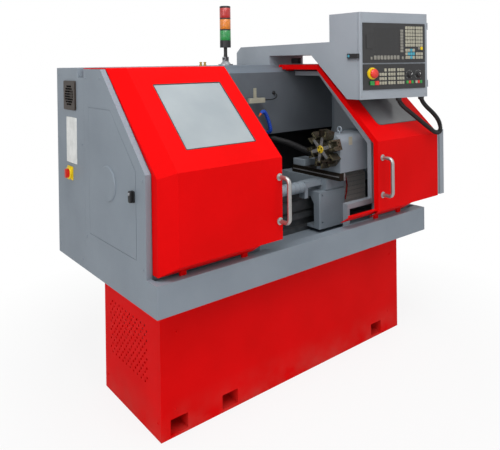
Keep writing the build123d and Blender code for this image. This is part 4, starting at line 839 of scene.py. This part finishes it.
recess = [(0.2935, 0.7025), (0.4685, 0.7620), (0.4685, 1.1445), (0.3010, 1.1445)]
lining = surface("recess_shade_sheet", sheet_between(recess, -0.849, 0.8735, -0.0012), sharp=25)
fit(lining, "frame", "gray_paint", RECESS_PAINTED_SHADE)
end_outline = np.array([(0.2620, 0.7000), (0.4695, 0.7620), (0.4695, 1.1455), (0.3030, 1.1455), (0.3030, 1.5300),
                        (0.2620, 1.5300)])
end_faces = (0.8742, 0.8762)
rims = [np.column_stack([np.full(6, x), end_outline]) for x in end_faces]
middles = [np.broadcast_to(np.array([x, 0.2955, 1.12]), (6, 3)) for x in end_faces]
end_plate = np.stack([middles[0], *rims, middles[1]])
fit(surface("right_end_plate", end_plate, sharp=25), "frame", "gray_paint", GRAY_COAT)
print("lining points:", len(recess))

# %% [markdown]
# The base is lifted through three pairs of pockets. Each pair is joined by a channel from front to back, which is
# what one sees through the holes.

# %% Fork channels
def channel(x, half, low, high, front, back, wall):
    """A rectangular tunnel along Y: outer ring, inner ring and back again, so the wall has both its faces."""
    def ring(grow, y):
        return np.array([(x - half - grow, y, low - grow), (x + half + grow, y, low - grow),
                         (x + half + grow, y, high + grow), (x - half - grow, y, high + grow)])
    return np.stack([ring(wall, front), ring(wall, back), ring(0.0, back), ring(0.0, front)])


tunnels = [channel(x, 0.0442, 0.0128, 0.0792, -0.2700, 0.2700, 0.002) for x in (-0.718, -0.446, 0.607)]
fit(surface("fork_channels", tunnels, wrap_rows=True, sharp=25), "frame", "red_paint", RED_COAT)
print("channels:", len(tunnels))

# %% [markdown]
# Small hardware: screws hold the panels, a rubber bead holds each pane, and a few fittings stand on the roof and
# on the left end. They are small, but they give the large plain sheets their scale.

# %% Panel screws
DOME = [(0, 0), (0, 0.0052), (0.0012, 0.0050), (0.0024, 0.0038), (0.0030, 0.0018), (0.0030, 0)]
base_places = [(x, -0.2725, z) for x, z in ((-0.730, 0.446), (-0.735, 0.117), (0.738, 0.444), (0.718, 0.114))]
base_places += [(x, -0.2725, 0.560) for x in (-0.70, -0.35, 0.0, 0.35, 0.70)]
fit(surface("base_screws", [turned(DOME, p, (0, -1, 0), 14) for p in base_places]), "frame", "red_paint", RED_COAT)
side_places = [(-0.808, y, z) for y in (-0.245, 0.245) for z in (0.07, 0.53)]
fit(surface("vent_screws", [turned(DOME, p, (-1, 0, 0), 14) for p in side_places]), "frame", "red_paint", RED_COAT)
end_places = [(-0.895, y, z) for y, z in ((-0.30, 0.76), (0.27, 0.76), (-0.30, 1.12), (0.27, 1.53), (0.10, 1.53))]
end_places += [(-0.895, y, z) for y in (0.32, 0.63) for z in (0.64, 1.20, 1.54)]
fit(surface("end_screws", [turned(DOME, p, (-1, 0, 0), 14) for p in end_places]), "frame", "gray_paint", GRAY_COAT)
box_screws = [on_face_turned([(18.2, 0), (18.2, 4), (20.0, 3.4), (20.6, 1.5), (20.6, 0)], s, z, 14)
              for s, z in ((14, 1842), (470, 1842), (14, 1401), (470, 1401))]
fit(surface("box_screws", box_screws), "control_door", "gray_paint", ZINC)
print("screws:", len(base_places) + len(side_places) + len(end_places) + len(box_screws))


# %% Beads round the panes
def round_loop(width, height, corner, steps=8):
    """A closed rectangle with round corners, as points (across, up) about the middle."""
    a = np.linspace(0, np.pi / 2, steps)
    parts = []
    for k, (sx, sy) in enumerate(((1, 1), (-1, 1), (-1, -1), (1, -1))):
        centre = np.array([sx * (width / 2 - corner), sy * (height / 2 - corner)])
        parts.append(centre + corner * np.column_stack([np.cos(a + k * np.pi / 2), np.sin(a + k * np.pi / 2)]))
    return np.concatenate(parts)


DOOR_FRONT, KNEE = -0.433, 1.160
SLOPE_RISE, SLOPE_RUN = 0.416, 0.440
SLOPE = math.atan2(SLOPE_RISE, SLOPE_RUN)
SLOPE_LENGTH = math.hypot(SLOPE_RISE, SLOPE_RUN)


def on_slope(across, along, out, x):
    """Points on the slanted part of a door: across it, along it from the knee, and out of it."""
    y = DOOR_FRONT + along * math.cos(SLOPE) - out * math.sin(SLOPE)
    z = KNEE + along * math.sin(SLOPE) + out * math.cos(SLOPE)
    return np.stack([x + across, y, z], axis=-1)


def bead(name, x, width, corner):
    """A closed cord of rubber along the pane's edge: circles round each point of the loop."""
    loop = round_loop(width, 0.64 * SLOPE_LENGTH, corner)
    forward_step = unit(np.roll(loop, -1, axis=0) - np.roll(loop, 1, axis=0))
    aside = np.column_stack([forward_step[:, 1], -forward_step[:, 0]])
    a = np.linspace(0, 2 * np.pi, 10, endpoint=False)
    flat = loop[:, None] - 0.0010 * aside[:, None] + 0.0028 * np.cos(a)[None, :, None] * aside[:, None]
    lift = np.broadcast_to(0.0022 * np.sin(a) - 0.0012, flat.shape[:2])
    return surface(name, on_slope(flat[..., 0], flat[..., 1] + 0.4965 * SLOPE_LENGTH, lift, x), wrap_rows=True)


fit(bead("left_pane_bead", -0.5295, 0.375, 0.006), "left_door", "rubber_black", RUBBER)
fit(bead("right_pane_bead", 0.733, 0.374, 0.024), "right_door", "rubber_black", RUBBER)
print("pane beads ready")

# %% Fittings on the roof, the left end and the back wall
plug_profile = [(0, 0), (0, 0.009), (0.008, 0.009), (0.008, 0.006), (0.016, 0.006), (0.016, 0.0085),
                (0.021, 0.0085), (0.023, 0.005), (0.023, 0)]
plugs = [turned(plug_profile, p, (0, 0, 1), 6) for p in ((-0.120, 0.425, 1.577), (-0.086, 0.432, 1.577))]
fit(surface("roof_fittings", plugs, sharp=20), "frame", "steel", BRASS)
grommet_profile = [(0, 0), (0, 0.012), (0.006, 0.011), (0.009, 0.006), (0.009, 0)]
grommet = turned(grommet_profile, (0.341, 0.300, 1.402), (0, -1, 0))
fit(surface("lead_grommet", grommet), "frame", "rubber_black", RUBBER)
diffuser = block_at((86, 21, 3), (151, 252, 1352), 0.15, 7, 16)
fit(surface("lamp_strip", diffuser), "frame", "beige_plastic", LED_STRIP)
blank = block_at((1.6, 138, 234), (-895.6, 453, 1210), 0.06, 7, 20)
fit(surface("blank_plate", blank), "frame", "beige_plastic", WHITE)
collar_profile = [(0, 0.0225), (0, 0.033), (0.009, 0.033), (0.0105, 0.031), (0.0105, 0.0235), (0, 0.0225)]
switch_collar = turned(collar_profile, (-0.899, 0.474, 1.040), (-1, 0, 0), 36)
fit(surface("switch_collar", switch_collar), "frame", "yellow_plastic", YELLOW)
latch_low, latch_high = (np.array(c, dtype=float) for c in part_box("end_cover_latch"))
latch_middle = (latch_low + latch_high) / 2
latch_middle[0] = latch_low[0] - 0.006
wing = rounded_block((0.014, 0.020, 0.050), 0.35, 9, 20) + latch_middle
fit(surface("latch_wing", wing), "cover_latch", "black_plastic", BLACK)
keyway = turned([(0, 0), (0, 0.0065), (0.0012, 0.006), (0.0012, 0)], latch_middle + np.array([-0.007, 0.0, 0.012]),
                (-1, 0, 0), 20)
fit(surface("latch_keyway", keyway), "cover_latch", "steel", ZINC)
barrel = turned([(0, 0), (0, 0.0075), (0.0015, 0.0072), (0.0015, 0)], (0.376, -0.289, 1.622), (-1, 0, 0), 20)
fit(surface("lock_barrel", barrel), "box_lock", "black_plastic", CYAN)
sensor = block_at((34, 60, 36), (540, 300, 1600), 0.15, 9, 24)
fit(surface("roof_switch", sensor), "frame", "black_plastic", BLACK)
print("fittings ready")

# %% [markdown]
# Light comes from large soft lamps, as in a studio: one from above, so that the slanted doors are the brightest,
# a weak wide one from the front, one from the left, and a small one over the arm.

# %% Lamps
def soft_lamp(name, place, aim, size, power):
    """A square lamp at a place, turned to face the aim."""
    data = bpy.data.lights.new(name, "AREA")
    data.size = size
    data.energy = power
    thing = bpy.data.objects.new(name, data)
    back = unit(np.array(place, dtype=float) - np.array(aim, dtype=float))
    side = unit(np.cross([0.0, 0.0, 1.0], back))
    thing.matrix_world = (Matrix.Translation(place)
                          @ Matrix(np.column_stack([side, np.cross(back, side), back]).tolist()).to_4x4())
    scene.collection.objects.link(thing)
    return thing


soft_lamp("top_lamp", (-0.4, -1.9, 3.9), (0.0, 0.0, 1.1), 2.6, 46)
soft_lamp("front_lamp", (0.9, -4.4, 2.0), (0.1, 0.0, 0.9), 2.4, 9)
soft_lamp("left_lamp", (-4.6, -1.6, 2.2), (-0.6, 0.0, 1.0), 2.2, 45)
soft_lamp("arm_lamp", (-1.0, -0.7, 2.9), (0.5, 0.1, 1.6), 1.2, 17)

# %% [markdown]
# The background is white to the eye but lights the machine less than white would. A Light Path node tells the rays
# apart: the camera's see full white, reflections most of it, and all the rest only the ambient level.

# %% Background
world = bpy.data.worlds.new("studio") if scene.world is None else scene.world
scene.world = world
world.use_nodes = True
sky = Socket(world.node_tree)
ray = sky.node("ShaderNodeLightPath")
seen = ray.output.node.outputs
straight = Socket(world.node_tree, seen["Is Camera Ray"])
mirrored = Socket(world.node_tree, seen["Is Glossy Ray"])
through = Socket(world.node_tree, seen["Is Transmission Ray"])
IN_REFLECTIONS = 0.55
shown = (straight + mirrored * IN_REFLECTIONS + through).between(0.0, 1.0)
background = world.node_tree.nodes["Background"]
sky.feed(background.inputs["Color"], (1.0, 1.0, 1.0, 1.0))
AMBIENT = 0.55
sky.feed(background.inputs["Strength"], AMBIENT + (1.0 - AMBIENT) * shown)
print("ambient level:", AMBIENT)

# %% [markdown]
# The floor is pale and takes the machine's shadow. Away from the machine it fades into the white background, by
# mixing its plain surface with a white glow that only the camera sees.

# %% Floor
floor_material = bpy.data.materials.new("pale_floor")
floor_material.use_nodes = True
base = Socket(floor_material.node_tree)
ray = base.node("ShaderNodeLightPath")
plain = base.node("ShaderNodeBsdfDiffuse", inputs={"Color": (0.82, 0.82, 0.82, 1.0)})
white = base.node("ShaderNodeEmission", inputs={"Color": (1.0, 1.0, 1.0, 1.0), "Strength": 1.0})
place = base.node("ShaderNodeTexCoord", output="Object")
distance = base.node("ShaderNodeVectorMath", {"operation": "LENGTH"}, {0: place}, "Value")
seen_by_eye = Socket(floor_material.node_tree, ray.output.node.outputs["Is Camera Ray"])
share = seen_by_eye * (0.86 + 0.14 * distance.between(1.1, 2.0))
both = base.node("ShaderNodeMixShader", inputs={0: share, 1: plain, 2: white})
base.feed(floor_material.node_tree.nodes["Material Output"].inputs["Surface"], both)
edge = np.linspace(-9.0, 9.0, 3)
ground = np.stack([*np.meshgrid(edge, edge, indexing="ij"), np.full((3, 3), -0.001)], axis=-1)
floor = surface("floor", ground, wrap_columns=False)
floor.data.materials.append(floor_material)
scene.view_settings.view_transform = "Standard"
print("floor ready")
